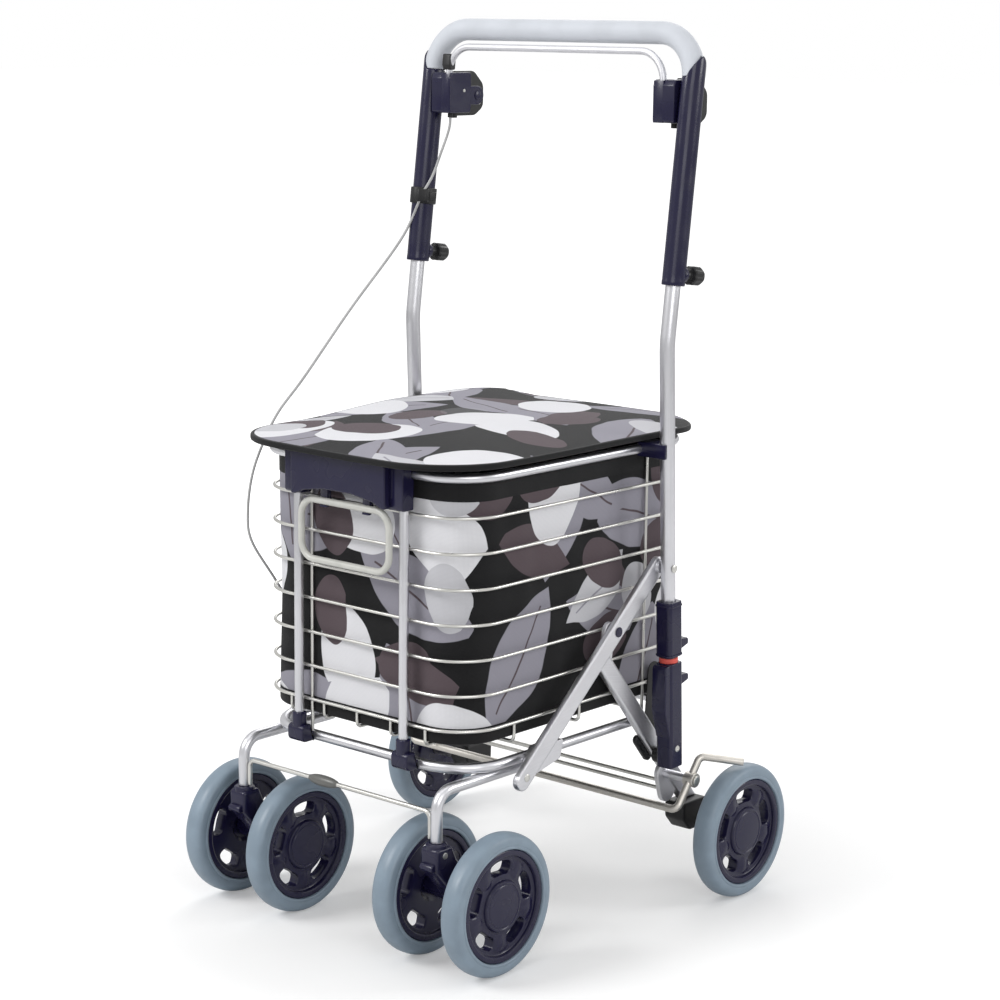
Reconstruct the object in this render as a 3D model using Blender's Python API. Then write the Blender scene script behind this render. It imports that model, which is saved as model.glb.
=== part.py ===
"""Shopping rollator: a folding frame with a wire basket, a bag, a lid and a pushing handle.

Metres, +Z up, front towards -Y. The origin lies on the floor midway between the axles.
Left is the left of the person who pushes, at +X, and each right piece mirrors a left one.
In this file y is the distance behind the front axles; added() moves each piece to the origin.
"""

import math

import bmesh
import bpy
import numpy as np
from mathutils import Matrix, Vector

# Clearances, the lap of joined shapes, and how far a cutter reaches past a wall
GAP = 0.0003
SIDE_GAP = 0.0010
LAP = 0.0010
OVERCUT = 0.0100

# Wheels
AXLE_SPAN = 0.3600
REAR_WHEEL_X = 0.2274
WHEEL_RADIUS = 0.0750
WHEEL_SIDES = 24
TYRE_WIDTH = 0.0255
TYRE_TREAD_WIDTH = 0.0120
TYRE_SHOULDER = 0.0035
TYRE_BORE_RADIUS = 0.0587
HUB_RIM_WIDTH = 0.0226
HUB_RIM_THICKNESS = 0.0070
HUB_WEB_THICKNESS = 0.0060
HUB_CAP_RADIUS = 0.0255
WINDOW_COUNT = 5
WINDOW_RADIUS = 0.0085
WINDOW_CIRCLE_RADIUS = 0.0385
AXLE_RADIUS = 0.0040
AXLE_BORE_RADIUS = 0.0044
AXLE_HEAD_RADIUS = 0.0070
AXLE_HEAD_THICKNESS = 0.0018
AXLE_HEIGHT = WHEEL_RADIUS * math.cos(math.pi / WHEEL_SIDES)

# Casters, each with two wheels
CASTER_X = 0.1396
CASTER_WHEEL_SPREAD = 0.0470
CASTER_TRAIL = 0.0380
FORK_WIDTH = 0.0240
FORK_TOP = 0.1375
FORK_NECK_RADIUS = 0.0115
FORK_NECK_LENGTH = 0.0150
FORK_FRONT_DROP = 0.0260
FORK_BACK_DROP = 0.0180
FORK_BACK_SWELL = 0.0070
FORK_FOOT_RADIUS = 0.0130
FORK_AXLE_BOSS_RADIUS = 0.0110
STEM_PIN_RADIUS = 0.0035
STEM_PIN_LENGTH = 0.0240
CASTER_TUBE_RADIUS = 0.0060
CASTER_TUBE_BEND = 0.0200
CASTER_TUBE_BACK = 0.0950
CROSS_ROD_HEIGHT = 0.1680
CROSS_ROD_RADIUS = 0.0025
CROSS_ROD_BEND = 0.0080
CROSS_ROD_FOOT = 0.0020

# Base frame
BASE_HEIGHT = 0.2013
BASE_TUBE_RADIUS = 0.0055
BASE_HALF_WIDTH = 0.1460
BASE_FRONT = -0.0030
BASE_CORNER = 0.0550

# Basket wire
RING_COUNT = 7
RING_RISE = 0.0410
TOP_RING_DROP = 0.0407
RING_HALF_WIDTH = 0.1500
RING_FRONT = -0.0112
RING_BACK = 0.3620
RING_CORNER = 0.0530
WIRE_RADIUS = 0.0018
WIRE_LAP = 0.0029
FRONT_WIRE_X = 0.0655
BACK_WIRE_X = 0.0750
SIDE_WIRE_Y = 0.2830
FLOOR_WIRE_DROP = 0.0184
FLOOR_WIRE_COUNT = 5
FLOOR_WIRE_PITCH_X = 0.0480
FLOOR_WIRE_Y = (0.0700, 0.1750, 0.2550)
FLOOR_WIRE_BEND = 0.0060

# Rim, posts and front plate
RIM_HEIGHT = 0.5020
RIM_TUBE_RADIUS = 0.0052
POST_X = 0.0750
POST_RADIUS = 0.0050
POST_FOOT_DROP = 0.0048
POST_FOOT_RISE = 0.0267
POST_FOOT_HALF_WIDTH = 0.0120
POST_FOOT_WALL = 0.0020
POST_FOOT_REACH = 0.0015
POST_SEAT = 0.0140
POST_SOCKET_DEPTH = 0.0200
PLATE_HALF_WIDTH = 0.0870
PLATE_DROP = 0.0365
PLATE_RISE = 0.0100
PLATE_ARCH_RISE = 0.0100
PLATE_ARCH_HALF_WIDTH = 0.0530
PLATE_WALL = 0.0040
PLATE_BLOCK_WIDTH = 0.0270
PLATE_PROUD = 0.0070

# Carry loop
LOOP_HALF_WIDTH = 0.0660
LOOP_DROP = 0.0705
LOOP_ROD_RADIUS = 0.0037
LOOP_CORNER = 0.0180
LOOP_HOOK_X = 0.0300
LOOP_HOOK_WIDTH = 0.0100
LOOP_HOOK_WALL = 0.0022
LOOP_HOOK_RISE = 0.0060

# Bag and lid
BAG_WALL = 0.0020
BAG_RIM_DROP = 0.0040
BAG_CORNER = 0.0480
BAG_BOTTOM_RADIUS = 0.0080
LID_HALF_WIDTH = 0.1650
LID_FRONT = -0.0500
LID_BACK = 0.3930
LID_CORNER = 0.0850
LID_EDGE_THICKNESS = 0.0070
LID_EDGE_ROUNDING = 0.0025
LID_EDGE_WIDTH = 0.0080
LID_CROWN = 0.0110
LID_CROWN_POWER = 2.4
LID_BOARD_THICKNESS = 0.0045
LID_STRAP_X = 0.0500
LID_STRAP_WIDTH = 0.0300
LID_STRAP_WALL = 0.0020
LID_STRAP_ROOT = 0.0040

# Uprights
UPRIGHT_X = 0.1815
UPRIGHT_RADIUS = 0.0080
UPRIGHT_FOOT_Y = 0.2890
UPRIGHT_FOOT_Z = 0.1630
UPRIGHT_LEAN = math.radians(-2.64)
UPRIGHT_BEND_RADIUS = 0.1200
UPRIGHT_TOP_REACH = 0.1900
SLEEVE_LEAN = math.radians(7.0)

# Front leg bars and rear legs
FRONT_LEG_Y = 0.0600
FRONT_LEG_Z = 0.1850
FRONT_LEG_X = 0.1625
FRONT_LEG_THICKNESS = 0.0084
LEG_WIDTH = 0.0200
LEG_EDGE_ROUNDING = 0.0025
FRONT_PIVOT_HEIGHT = 0.3750
FOLD_PIVOT_Y = 0.2100
GUSSET_OUTLINE = ((0.0670, 0.1820), (0.0890, 0.2140), (0.1310, 0.2150), (0.1250, 0.1950))
GUSSET_HOLE = (0.0950, 0.2040)
GUSSET_HOLE_RADIUS = 0.0035
REAR_LEG_X = 0.1530
REAR_LEG_THICKNESS = 0.0090
REAR_LEG_TOP = (0.2030, 0.2790)
REAR_LEG_BRACKET_RADIUS = 0.0090
REAR_LEG_AIM_HEIGHT = 0.0920
FOOT_BOTTOM = 0.0630
FOOT_TOP = 0.0985
FOOT_AHEAD = 0.0340
FOOT_BEHIND = 0.0180
FOOT_CHAMFER_RISE = 0.0160
FOOT_CHAMFER_RUN = 0.0120
FOOT_INNER_X = 0.1450
FOOT_OUTER_X = 0.1750
AXLE_SPACER_RADIUS = 0.0065
PIVOT_PIN_RADIUS = 0.0032
PIN_HEAD_RADIUS = 0.0055
PIN_HEAD_THICKNESS = 0.0015
FOLD_PIN_HEAD_THICKNESS = 0.0006
LEG_SPACER_RADIUS = 0.0070
LUG_THICKNESS = 0.0060
LUG_RADIUS = 0.0130
REAR_ROD_RADIUS = 0.0024
REAR_ROD_AHEAD = (0.0300, 0.0430)
REAR_ROD_HEIGHT = (0.1190, 0.1150)

# Brake bar, with its distances ahead of the rear axles
BRAKE_PIVOT_AHEAD = 0.0490
BRAKE_PIVOT_HEIGHT = 0.1360
BRAKE_BAR_RADIUS = 0.0042
BRAKE_BAR_AHEAD = 0.0740
BRAKE_BAR_Z = 0.1070
BRAKE_ARM_X = 0.1960
BRAKE_ARM_TOP_AHEAD = 0.0340
BRAKE_ARM_TOP_HEIGHT = 0.1590
BRAKE_SHOE_X = 0.2374
BRAKE_SHOE_AHEAD = 0.0100
BRAKE_SHOE_HEIGHT = 0.1555
BRAKE_BEND = 0.0080
BRAKE_EYE_RADIUS = 0.0080
BRAKE_EYE_WIDTH = 0.0130
BRAKE_SPACER_RADIUS = 0.0050

# Sliding housings and lock collars on the uprights
SLIDER_INNER_X = 0.1719
SLIDER_OUTER_X = 0.1940
SLIDER_DEPTH = 0.0230
SLIDER_ROUNDING = 0.0040
HOUSING_BOTTOM = -0.0090
HOUSING_TOP = 0.1080
COLLAR_BOTTOM = 0.1150
COLLAR_TOP = 0.1760
TAB_REACH = 0.0140
TAB_HEIGHT = 0.0100
TAB_WIDTH = 0.0120
TAB_TAPER = 0.0030
HOUSING_TAB = 0.0860
COLLAR_TAB = 0.1260
SLIDE_PIN_RADIUS = 0.0040

# Rim clips, which end short of the uprights' middles
CLIP_AHEAD = 0.0055
CLIP_BEHIND = 0.0165
CLIP_SHORT = 0.0045
CLIP_HALF_HEIGHT = 0.0078

# Handle, whose height sets the uprights' bend
GRIP_HEIGHT = 0.9350
GRIP_RISE = 0.3200
SLEEVE_BOTTOM_REACH = 0.0620
SLEEVE_HALF_WIDTH = 0.0110
SLEEVE_HALF_DEPTH = 0.0140
SLEEVE_TOP_DROP = 0.0450
SLEEVE_SLANT = 0.0220
SLANT_REACH = 0.0300
GRIP_RADIUS = 0.0120
GRIP_CORNER = 0.0465
HANDLE_TUBE_START = 0.2340
KNOB_REACH = 0.0740
KNOB_RADIUS = 0.0105
KNOB_LENGTH = 0.0170
KNOB_STEM_LENGTH = 0.0110
KNOB_SCREW_RADIUS = 0.0030
KNOB_NECK_RADIUS = 0.0050
KNOB_EDGE = 0.0030
BAND_RISE = 0.1345
BAND_LENGTH = 0.0150
BAND_WALL = 0.0020
BAND_LUG_HALF_WIDTH = 0.0035
BAND_LUG_STAND_OFF = 0.0010

# Brake lever and its blocks, whose places (behind, above) are counted from the uprights' bend
LEVER_PIVOT_PLACE = (0.0638, 0.2470)
LEVER_BAR_PLACE = (0.0238, 0.3010)
LEVER_ROD_RADIUS = 0.0035
LEVER_LEG_X = 0.1500
LEVER_BEND = 0.0300
LEVER_ELBOW_RISE = 0.2630
LEVER_ELBOW_BEND = 0.0080
LEVER_EYE_RADIUS = 0.0075
LEVER_EYE_HALF_WIDTH = 0.0037
BLOCK_BACK_PLACE = 0.0518
BLOCK_BOTTOM_RISE = 0.2280
BLOCK_TOP_RISE = 0.2725
BLOCK_WALL = 0.0030
DISC_PLACE = (0.0603, 0.2480)
DISC_RADIUS = 0.0260
DISC_THICKNESS = 0.0065
DISC_SIDES = 24

# Brake cable: down from the right lever block to the band, as (x, behind, above) from the bend,
# on in a sweep, as (x, y, share of the height that is left), as points along the frame, and to
# its end as (x, behind, above) from the brake bar
CABLE_RADIUS = 0.0021
CABLE_BY_HANDLE = (
    (-0.1550, 0.0318, 0.2275),
    (-0.1552, 0.0308, 0.2100),
    (-0.1580, 0.0198, 0.1830),
    (-0.1680, 0.0038, 0.1570),
    (-0.1800, -0.0032, 0.1395),
    (-0.1830, -0.0042, 0.1300),
)
CABLE_SWEEP = (
    (-0.1920, 0.2500, 0.8214),
    (-0.1950, 0.1800, 0.5317),
    (-0.1970, 0.1100, 0.2579),
    (-0.1980, 0.0720, 0.1230),
)
CABLE_BY_FRAME = (
    (-0.1990, 0.0500, 0.4930),
    (-0.2000, 0.0340, 0.4590),
    (-0.2000, 0.0270, 0.4200),
    (-0.1980, 0.0300, 0.3870),
    (-0.1940, 0.0600, 0.3410),
    (-0.1880, 0.0930, 0.2900),
    (-0.1800, 0.1280, 0.2350),
    (-0.1700, 0.1750, 0.1900),
    (-0.1600, 0.2300, 0.1500),
)
CABLE_END_PLACE = (-0.1550, -0.0047, 0.0042)
CABLE_STEPS = 3

# Places that follow from the sizes above
FRONT_AXLE_Y = -AXLE_SPAN / 2
CASTER_STEM_Y = -CASTER_TRAIL
POST_FOOT_BOTTOM = BASE_HEIGHT - POST_FOOT_DROP
POST_FOOT_TOP = BASE_HEIGHT + POST_FOOT_RISE
CASTER_TUBE_HEIGHT = BASE_HEIGHT - BASE_TUBE_RADIUS - CASTER_TUBE_RADIUS - GAP
STEM_BOTTOM = FORK_TOP + GAP
POST_Y = RING_FRONT - WIRE_RADIUS - POST_RADIUS - GAP
PLATE_FRONT = POST_Y - POST_RADIUS - PLATE_PROUD
INNER_WIRE_X = RING_HALF_WIDTH - WIRE_LAP
INNER_WIRE_FRONT = RING_FRONT + WIRE_LAP
INNER_WIRE_BACK = RING_BACK - WIRE_LAP
RING_HEIGHT = BASE_HEIGHT + RING_RISE
RING_PITCH = (RIM_HEIGHT - TOP_RING_DROP - RING_HEIGHT) / (RING_COUNT - 1)
FLOOR_WIRE_HEIGHT = RING_HEIGHT - FLOOR_WIRE_DROP
PLATE_BOTTOM = RIM_HEIGHT - PLATE_DROP
PLATE_TOP = RIM_HEIGHT + PLATE_RISE
LOOP_BOTTOM = PLATE_BOTTOM - LOOP_DROP
BASE_BACK = INNER_WIRE_BACK
BASE_TOP = BASE_HEIGHT + BASE_TUBE_RADIUS
RIM_BOTTOM = RIM_HEIGHT - RIM_TUBE_RADIUS
LID_BOTTOM = PLATE_TOP + GAP
BAG_HALF_WIDTH = INNER_WIRE_X - WIRE_RADIUS - GAP
BAG_FRONT = INNER_WIRE_FRONT + WIRE_RADIUS + GAP
BAG_BACK = INNER_WIRE_BACK - WIRE_RADIUS - GAP
BAG_BOTTOM = FLOOR_WIRE_HEIGHT + WIRE_RADIUS + GAP
LOOP_PIVOT = (PLATE_FRONT + LOOP_ROD_RADIUS, PLATE_BOTTOM - LOOP_ROD_RADIUS - GAP)
FRONT_PIVOT_Y = UPRIGHT_FOOT_Y + math.tan(UPRIGHT_LEAN) * (FRONT_PIVOT_HEIGHT - UPRIGHT_FOOT_Z)
FRONT_PIVOT = (FRONT_PIVOT_Y, FRONT_PIVOT_HEIGHT)
FRONT_LEG_SLOPE = (FRONT_PIVOT_HEIGHT - FRONT_LEG_Z) / (FRONT_PIVOT_Y - FRONT_LEG_Y)
FOLD_PIVOT = (FOLD_PIVOT_Y, FRONT_LEG_Z + FRONT_LEG_SLOPE * (FOLD_PIVOT_Y - FRONT_LEG_Y))
FRONT_LEG_OUTER_X = FRONT_LEG_X + FRONT_LEG_THICKNESS
REAR_LEG_OUTER_X = REAR_LEG_X + REAR_LEG_THICKNESS
FOOT_FRONT = AXLE_SPAN - FOOT_AHEAD
FOOT_BACK = AXLE_SPAN + FOOT_BEHIND
REAR_ROD_UPPER = (AXLE_SPAN - REAR_ROD_AHEAD[0], REAR_ROD_HEIGHT[0])
REAR_ROD_LOWER = (AXLE_SPAN - REAR_ROD_AHEAD[1], REAR_ROD_HEIGHT[1])
BRAKE_PIVOT = (AXLE_SPAN - BRAKE_PIVOT_AHEAD, BRAKE_PIVOT_HEIGHT)
BRAKE_BAR_Y = AXLE_SPAN - BRAKE_BAR_AHEAD
BRAKE_ARM_TOP = (AXLE_SPAN - BRAKE_ARM_TOP_AHEAD, BRAKE_ARM_TOP_HEIGHT)
BRAKE_SHOE = (BRAKE_SHOE_X, AXLE_SPAN - BRAKE_SHOE_AHEAD, BRAKE_SHOE_HEIGHT)
UPRIGHT_BORE = UPRIGHT_RADIUS + GAP
UPRIGHT_BEND_HEIGHT = GRIP_HEIGHT - GRIP_RISE
BEND_Y = UPRIGHT_FOOT_Y + math.tan(UPRIGHT_LEAN) * (UPRIGHT_BEND_HEIGHT - UPRIGHT_FOOT_Z)
GRIP_REACH = GRIP_RISE / math.cos(SLEEVE_LEAN)
SLEEVE_TOP_INNER = GRIP_HEIGHT - SLEEVE_TOP_DROP
SLEEVE_TOP_OUTER = SLEEVE_TOP_INNER + SLEEVE_SLANT
BAND_HEIGHT = UPRIGHT_BEND_HEIGHT + BAND_RISE
LEVER_PIVOT = (BEND_Y + LEVER_PIVOT_PLACE[0], UPRIGHT_BEND_HEIGHT + LEVER_PIVOT_PLACE[1])
LEVER_BAR = (BEND_Y + LEVER_BAR_PLACE[0], UPRIGHT_BEND_HEIGHT + LEVER_BAR_PLACE[1])
LEVER_ELBOW_HEIGHT = UPRIGHT_BEND_HEIGHT + LEVER_ELBOW_RISE
BLOCK_BACK = BEND_Y + BLOCK_BACK_PLACE
BLOCK_BOTTOM = UPRIGHT_BEND_HEIGHT + BLOCK_BOTTOM_RISE
BLOCK_TOP = UPRIGHT_BEND_HEIGHT + BLOCK_TOP_RISE
DISC_CENTRE = (BEND_Y + DISC_PLACE[0], UPRIGHT_BEND_HEIGHT + DISC_PLACE[1])
SLOT_NEAR_X = LEVER_LEG_X - LEVER_ROD_RADIUS - SIDE_GAP
SLOT_FAR_X = LEVER_LEG_X + LEVER_ROD_RADIUS + SIDE_GAP
BLOCK_INNER_X = SLOT_NEAR_X - BLOCK_WALL
SLOT_FRONT = LEVER_BAR[0] - LEVER_ROD_RADIUS - SIDE_GAP

# Looks, each a linear colour, a roughness and a metallic value
NAVY_PLASTIC = ((0.022, 0.019, 0.065), 0.40, 0.0)
TYRE_RUBBER = ((0.250, 0.320, 0.380), 0.60, 0.0)
ALUMINIUM = ((0.780, 0.780, 0.800), 0.25, 1.0)
BRIGHT_WIRE = ((0.720, 0.720, 0.700), 0.30, 1.0)
GRIP_FOAM = ((0.720, 0.760, 0.810), 0.70, 0.0)
BLACK_PLASTIC = ((0.015, 0.015, 0.016), 0.45, 0.0)
CABLE_SLEEVE = ((0.620, 0.620, 0.600), 0.50, 0.0)
BAG_CLOTH = ((0.140, 0.140, 0.160), 0.90, 0.0)


def clear_scene():
    for thing in list(bpy.data.objects):
        bpy.data.objects.remove(thing, do_unlink=True)


def material(name, colour, roughness, metallic):
    made = bpy.data.materials.new(name)
    made.use_nodes = True
    shader = made.node_tree.nodes["Principled BSDF"]
    shader.inputs["Base Color"].default_value = (*colour, 1.0)
    shader.inputs["Roughness"].default_value = roughness
    shader.inputs["Metallic"].default_value = metallic
    return made


def added(name, mesh, look, pivot=(0.0, 0.0, 0.0)):
    """Puts a mesh into the scene as a named piece whose origin is the pivot of its joint."""
    centre = Vector(pivot)
    mesh.transform(Matrix.Translation(-centre))
    mesh.name = name
    mesh.materials.clear()
    mesh.materials.append(material(name, *look))
    mesh.shade_smooth()
    mesh.set_sharp_from_angle(angle=math.radians(35))
    piece = bpy.data.objects.new(name, mesh)
    piece.location = centre + Vector((0.0, FRONT_AXLE_Y, 0.0))
    bpy.context.scene.collection.objects.link(piece)
    return piece


def both_sides(name, mesh, look, pivot=(0.0, 0.0, 0.0)):
    """Adds the left piece and its mirror image on the right."""
    other = mirrored(mesh)
    added(name + "_left", mesh, look, pivot)
    added(name + "_right", other, look, (-pivot[0], pivot[1], pivot[2]))


def mirrored(mesh):
    other = mesh.copy()
    other.transform(Matrix.Diagonal((-1.0, 1.0, 1.0, 1.0)))
    other.flip_normals()
    return other


def moved(mesh, shift):
    other = mesh.copy()
    other.transform(Matrix.Translation(Vector(shift)))
    return other


def evaluated_mesh(piece):
    """The mesh that an object shows with its modifiers, after which the object goes."""
    bpy.context.scene.collection.objects.link(piece)
    graph = bpy.context.evaluated_depsgraph_get()
    mesh = bpy.data.meshes.new_from_object(piece.evaluated_get(graph))
    bpy.data.objects.remove(piece, do_unlink=True)
    return mesh


def boolean(mesh, tools, operation):
    """Joins the tools to a mesh with UNION, or takes them away with DIFFERENCE."""
    body = bpy.data.objects.new("body", mesh)
    helpers = bpy.data.collections.new("tools")
    for tool in tools:
        helpers.objects.link(bpy.data.objects.new("tool", tool))
    step = body.modifiers.new(operation, "BOOLEAN")
    step.operation = operation
    step.solver = "EXACT"
    step.operand_type = "COLLECTION"
    step.collection = helpers
    bpy.context.scene.collection.children.link(helpers)
    result = evaluated_mesh(body)
    for tool in list(helpers.objects):
        bpy.data.objects.remove(tool, do_unlink=True)
    bpy.data.collections.remove(helpers)
    return result


def joined(mesh, *others):
    return boolean(mesh, others, "UNION")


def cut(mesh, *others):
    return boolean(mesh, others, "DIFFERENCE")


def mesh_of(shape):
    """Turns a bmesh into a mesh with its faces outward."""
    bmesh.ops.remove_doubles(shape, verts=shape.verts, dist=1e-7)
    bmesh.ops.recalc_face_normals(shape, faces=shape.faces)
    mesh = bpy.data.meshes.new("shape")
    shape.to_mesh(mesh)
    shape.free()
    return mesh


def prism(outline, axis, start, end, rounding=0.0):
    """An outline in the two other axes, drawn out along axis 0, 1 or 2, with its rims rounded."""
    shape = bmesh.new()
    corners = [shape.verts.new(np.insert(point, axis, start)) for point in outline]
    face = shape.faces.new(corners)
    grown = bmesh.ops.extrude_face_region(shape, geom=[face])["geom"]
    ends = [item for item in grown if isinstance(item, bmesh.types.BMVert)]
    bmesh.ops.translate(shape, verts=ends, vec=np.insert((0.0, 0.0), axis, end - start))
    if rounding:
        rims = [edge for edge in shape.edges if len({vert in ends for vert in edge.verts}) == 1]
        bmesh.ops.bevel(shape, geom=rims, offset=rounding, segments=1, affect="EDGES")
    return mesh_of(shape)


def box(low, high):
    corners = ((low[0], low[1]), (high[0], low[1]), (high[0], high[1]), (low[0], high[1]))
    return prism(corners, 2, low[2], high[2])


def turned(profile, centre, direction, sides, ring=False):
    """A profile of (radius, distance along) turned about an axis, with flats at the bottom.

    A ring's profile is a closed loop; any other has a flat disc at each end.
    """
    along = Vector(direction).normalized()
    first = Vector((0.0, 1.0, 0.0)) if abs(along.y) < 0.9 else Vector((0.0, 0.0, 1.0))
    first = (first - along * first.dot(along)).normalized()
    second = along.cross(first)
    shape = bmesh.new()
    loops = []
    for radius, distance in profile:
        loop = []
        for k in range(sides):
            angle = 2 * math.pi * (k + 0.5) / sides
            spoke = first * math.cos(angle) + second * math.sin(angle)
            loop.append(shape.verts.new(Vector(centre) + along * distance + spoke * radius))
        loops.append(loop)
    pairs = list(zip(loops, loops[1:] + loops[:1]))
    for one, two in pairs if ring else pairs[:-1]:
        for k in range(sides):
            shape.faces.new((one[k], one[k - 1], two[k - 1], two[k]))
    if not ring:
        shape.faces.new(loops[0])
        shape.faces.new(reversed(loops[-1]))
    return mesh_of(shape)


def rod(start, end, radius, sides=10):
    span = Vector(end) - Vector(start)
    return turned(((radius, 0.0), (radius, span.length)), start, span, sides)


def tube(points, radius, sides=8, closed=False):
    """A round bar through the points, from a curve with a bevel."""
    curve = bpy.data.curves.new("path", "CURVE")
    curve.dimensions = "3D"
    curve.bevel_depth = radius
    curve.bevel_resolution = (sides - 4) // 2
    curve.use_fill_caps = not closed
    spline = curve.splines.new("POLY")
    spline.points.add(len(points) - 1)
    rows = np.column_stack([np.array(points), np.ones(len(points))])
    spline.points.foreach_set("co", rows.ravel())
    spline.use_cyclic_u = closed
    shape = bmesh.new()
    shape.from_mesh(evaluated_mesh(bpy.data.objects.new("path", curve)))
    return mesh_of(shape)


def bent(corners, radii, steps=4, closed=False):
    """Points of straight runs whose corners are rounded to the radii."""
    corners = [Vector(corner) for corner in corners]
    points = []
    for i, corner in enumerate(corners):
        if not closed and i in (0, len(corners) - 1):
            points.append(corner)
            continue
        back = (corners[i - 1] - corner).normalized()
        ahead = (corners[(i + 1) % len(corners)] - corner).normalized()
        half = back.angle(ahead) / 2
        radius = radii if isinstance(radii, float) else radii[i]
        centre = corner + (back + ahead).normalized() * radius / math.sin(half)
        first = corner + back * radius / math.tan(half) - centre
        last = corner + ahead * radius / math.tan(half) - centre
        whole = first.angle(last)
        for k in range(steps + 1):
            share = whole * k / steps
            spoke = (first * math.sin(whole - share) + last * math.sin(share)) / math.sin(whole)
            points.append(centre + spoke)
    return points


def oblong(half_width, front, back, corner, height, steps=3):
    """Points of a level rectangle with rounded corners."""
    corners = (
        (-half_width, front, height),
        (half_width, front, height),
        (half_width, back, height),
        (-half_width, back, height),
    )
    return bent(corners, corner, steps, closed=True)


def arc(centre, radius, start, end, steps):
    """Points in a plane from one angle to another, in degrees."""
    angles = np.radians(np.linspace(start, end, steps + 1))
    return [(centre[0] + radius * math.cos(a), centre[1] + radius * math.sin(a)) for a in angles]


def circle(centre, radius, sides):
    return arc(centre, radius, 0, 360 - 360 / sides, sides - 1)


def stadium(start, end, radius, steps=5):
    """Outline of a bar with round ends."""
    heading = math.degrees(math.atan2(end[1] - start[1], end[0] - start[0]))
    far = arc(end, radius, heading - 90, heading + 90, steps)
    return far + arc(start, radius, heading + 90, heading + 270, steps)


def on_line(start, slope, distance):
    """A point at a distance along a heading (y, z) from a start."""
    return (start[0] + slope[0] * distance, start[1] + slope[1] * distance)


def upright_frame(mesh):
    """Moves a mesh made about a vertical tube onto the left upright, z counted from its foot."""
    place = Matrix.Translation((UPRIGHT_X, UPRIGHT_FOOT_Y, UPRIGHT_FOOT_Z))
    mesh.transform(place @ Matrix.Rotation(-UPRIGHT_LEAN, 4, "X"))
    return mesh


def handle_point(x, across, reach):
    """A point in the handle's leaning plane, with its reach counted from the uprights' bend."""
    y = BEND_Y + math.sin(SLEEVE_LEAN) * reach + math.cos(SLEEVE_LEAN) * across
    z = UPRIGHT_BEND_HEIGHT + math.cos(SLEEVE_LEAN) * reach - math.sin(SLEEVE_LEAN) * across
    return (x, y, z)


def handle_frame(mesh):
    """Moves a mesh made about a vertical tube onto the left sleeve's axis."""
    place = Matrix.Translation((UPRIGHT_X, BEND_Y, UPRIGHT_BEND_HEIGHT))
    mesh.transform(place @ Matrix.Rotation(-SLEEVE_LEAN, 4, "X"))
    return mesh


def oval(half_width, half_depth, steps=20):
    angles = 2 * math.pi * (np.arange(steps) + 0.5) / steps
    return [(half_width * math.cos(a), half_depth * math.sin(a)) for a in angles]


def tyre_mesh():
    half, tread = TYRE_WIDTH / 2, TYRE_TREAD_WIDTH / 2
    bore, shoulder = TYRE_BORE_RADIUS, WHEEL_RADIUS - TYRE_SHOULDER
    profile = (
        (bore, -half),
        (bore, half),
        (shoulder, half),
        (WHEEL_RADIUS, tread),
        (WHEEL_RADIUS, -tread),
        (shoulder, -half),
    )
    return turned(profile, (0.0, 0.0, 0.0), (1, 0, 0), WHEEL_SIDES, ring=True)


def hub_mesh():
    """A hub whose cap faces +X, with windows through its web."""
    outer, side = TYRE_BORE_RADIUS - GAP, HUB_RIM_WIDTH / 2
    inner, web = outer - HUB_RIM_THICKNESS, HUB_WEB_THICKNESS / 2
    cap = TYRE_WIDTH / 2 - AXLE_HEAD_THICKNESS - GAP
    profile = (
        (outer, -side),
        (outer, side),
        (inner, side),
        (inner, web),
        (HUB_CAP_RADIUS, web),
        (HUB_CAP_RADIUS, cap),
        (AXLE_BORE_RADIUS, cap),
        (AXLE_BORE_RADIUS, -web),
        (inner, -web),
        (inner, -side),
    )
    hub = turned(profile, (0.0, 0.0, 0.0), (1, 0, 0), WHEEL_SIDES, ring=True)
    windows = []
    for k in range(WINDOW_COUNT):
        angle = 2 * math.pi * k / WINDOW_COUNT + math.pi / 2
        y = WINDOW_CIRCLE_RADIUS * math.cos(angle)
        z = WINDOW_CIRCLE_RADIUS * math.sin(angle)
        windows.append(rod((-side, y, z), (side, y, z), WINDOW_RADIUS, 8))
    return cut(hub, *windows)


def wheel(name, tyre, hub, x, y):
    """A tyre on its hub, with the hub's cap away from the cart's middle or its caster."""
    centre = (x, y, AXLE_HEIGHT)
    added("tyre_" + name, moved(tyre, centre), TYRE_RUBBER, centre)
    added("hub_" + name, moved(hub, centre), NAVY_PLASTIC, centre)


def wheels():
    tyre, hub = tyre_mesh(), hub_mesh()
    back_to_front = mirrored(hub)
    for side, sign in (("left", 1), ("right", -1)):
        facing_out = hub if sign > 0 else back_to_front
        facing_in = back_to_front if sign > 0 else hub
        stem = sign * CASTER_X
        wheel("front_outer_" + side, tyre, facing_out, stem + sign * CASTER_WHEEL_SPREAD, 0.0)
        wheel("front_inner_" + side, tyre, facing_in, stem - sign * CASTER_WHEEL_SPREAD, 0.0)
        wheel("rear_" + side, tyre, facing_out, sign * REAR_WHEEL_X, AXLE_SPAN)


def headed_axle(start, end, y, spacer=()):
    """A rod along X with a flat head at each end and, for a wheel on one side, a spacer."""
    head, thick = AXLE_HEAD_RADIUS, AXLE_HEAD_THICKNESS
    profile = [(head, start), (head, start + thick), (AXLE_RADIUS, start + thick)]
    for near, far in spacer:
        profile += [(AXLE_RADIUS, near), (AXLE_SPACER_RADIUS, near)]
        profile += [(AXLE_SPACER_RADIUS, far), (AXLE_RADIUS, far)]
    profile += [(AXLE_RADIUS, end - thick), (head, end - thick), (head, end)]
    return turned(profile, (0.0, y, AXLE_HEIGHT), (1, 0, 0), 10)


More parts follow.
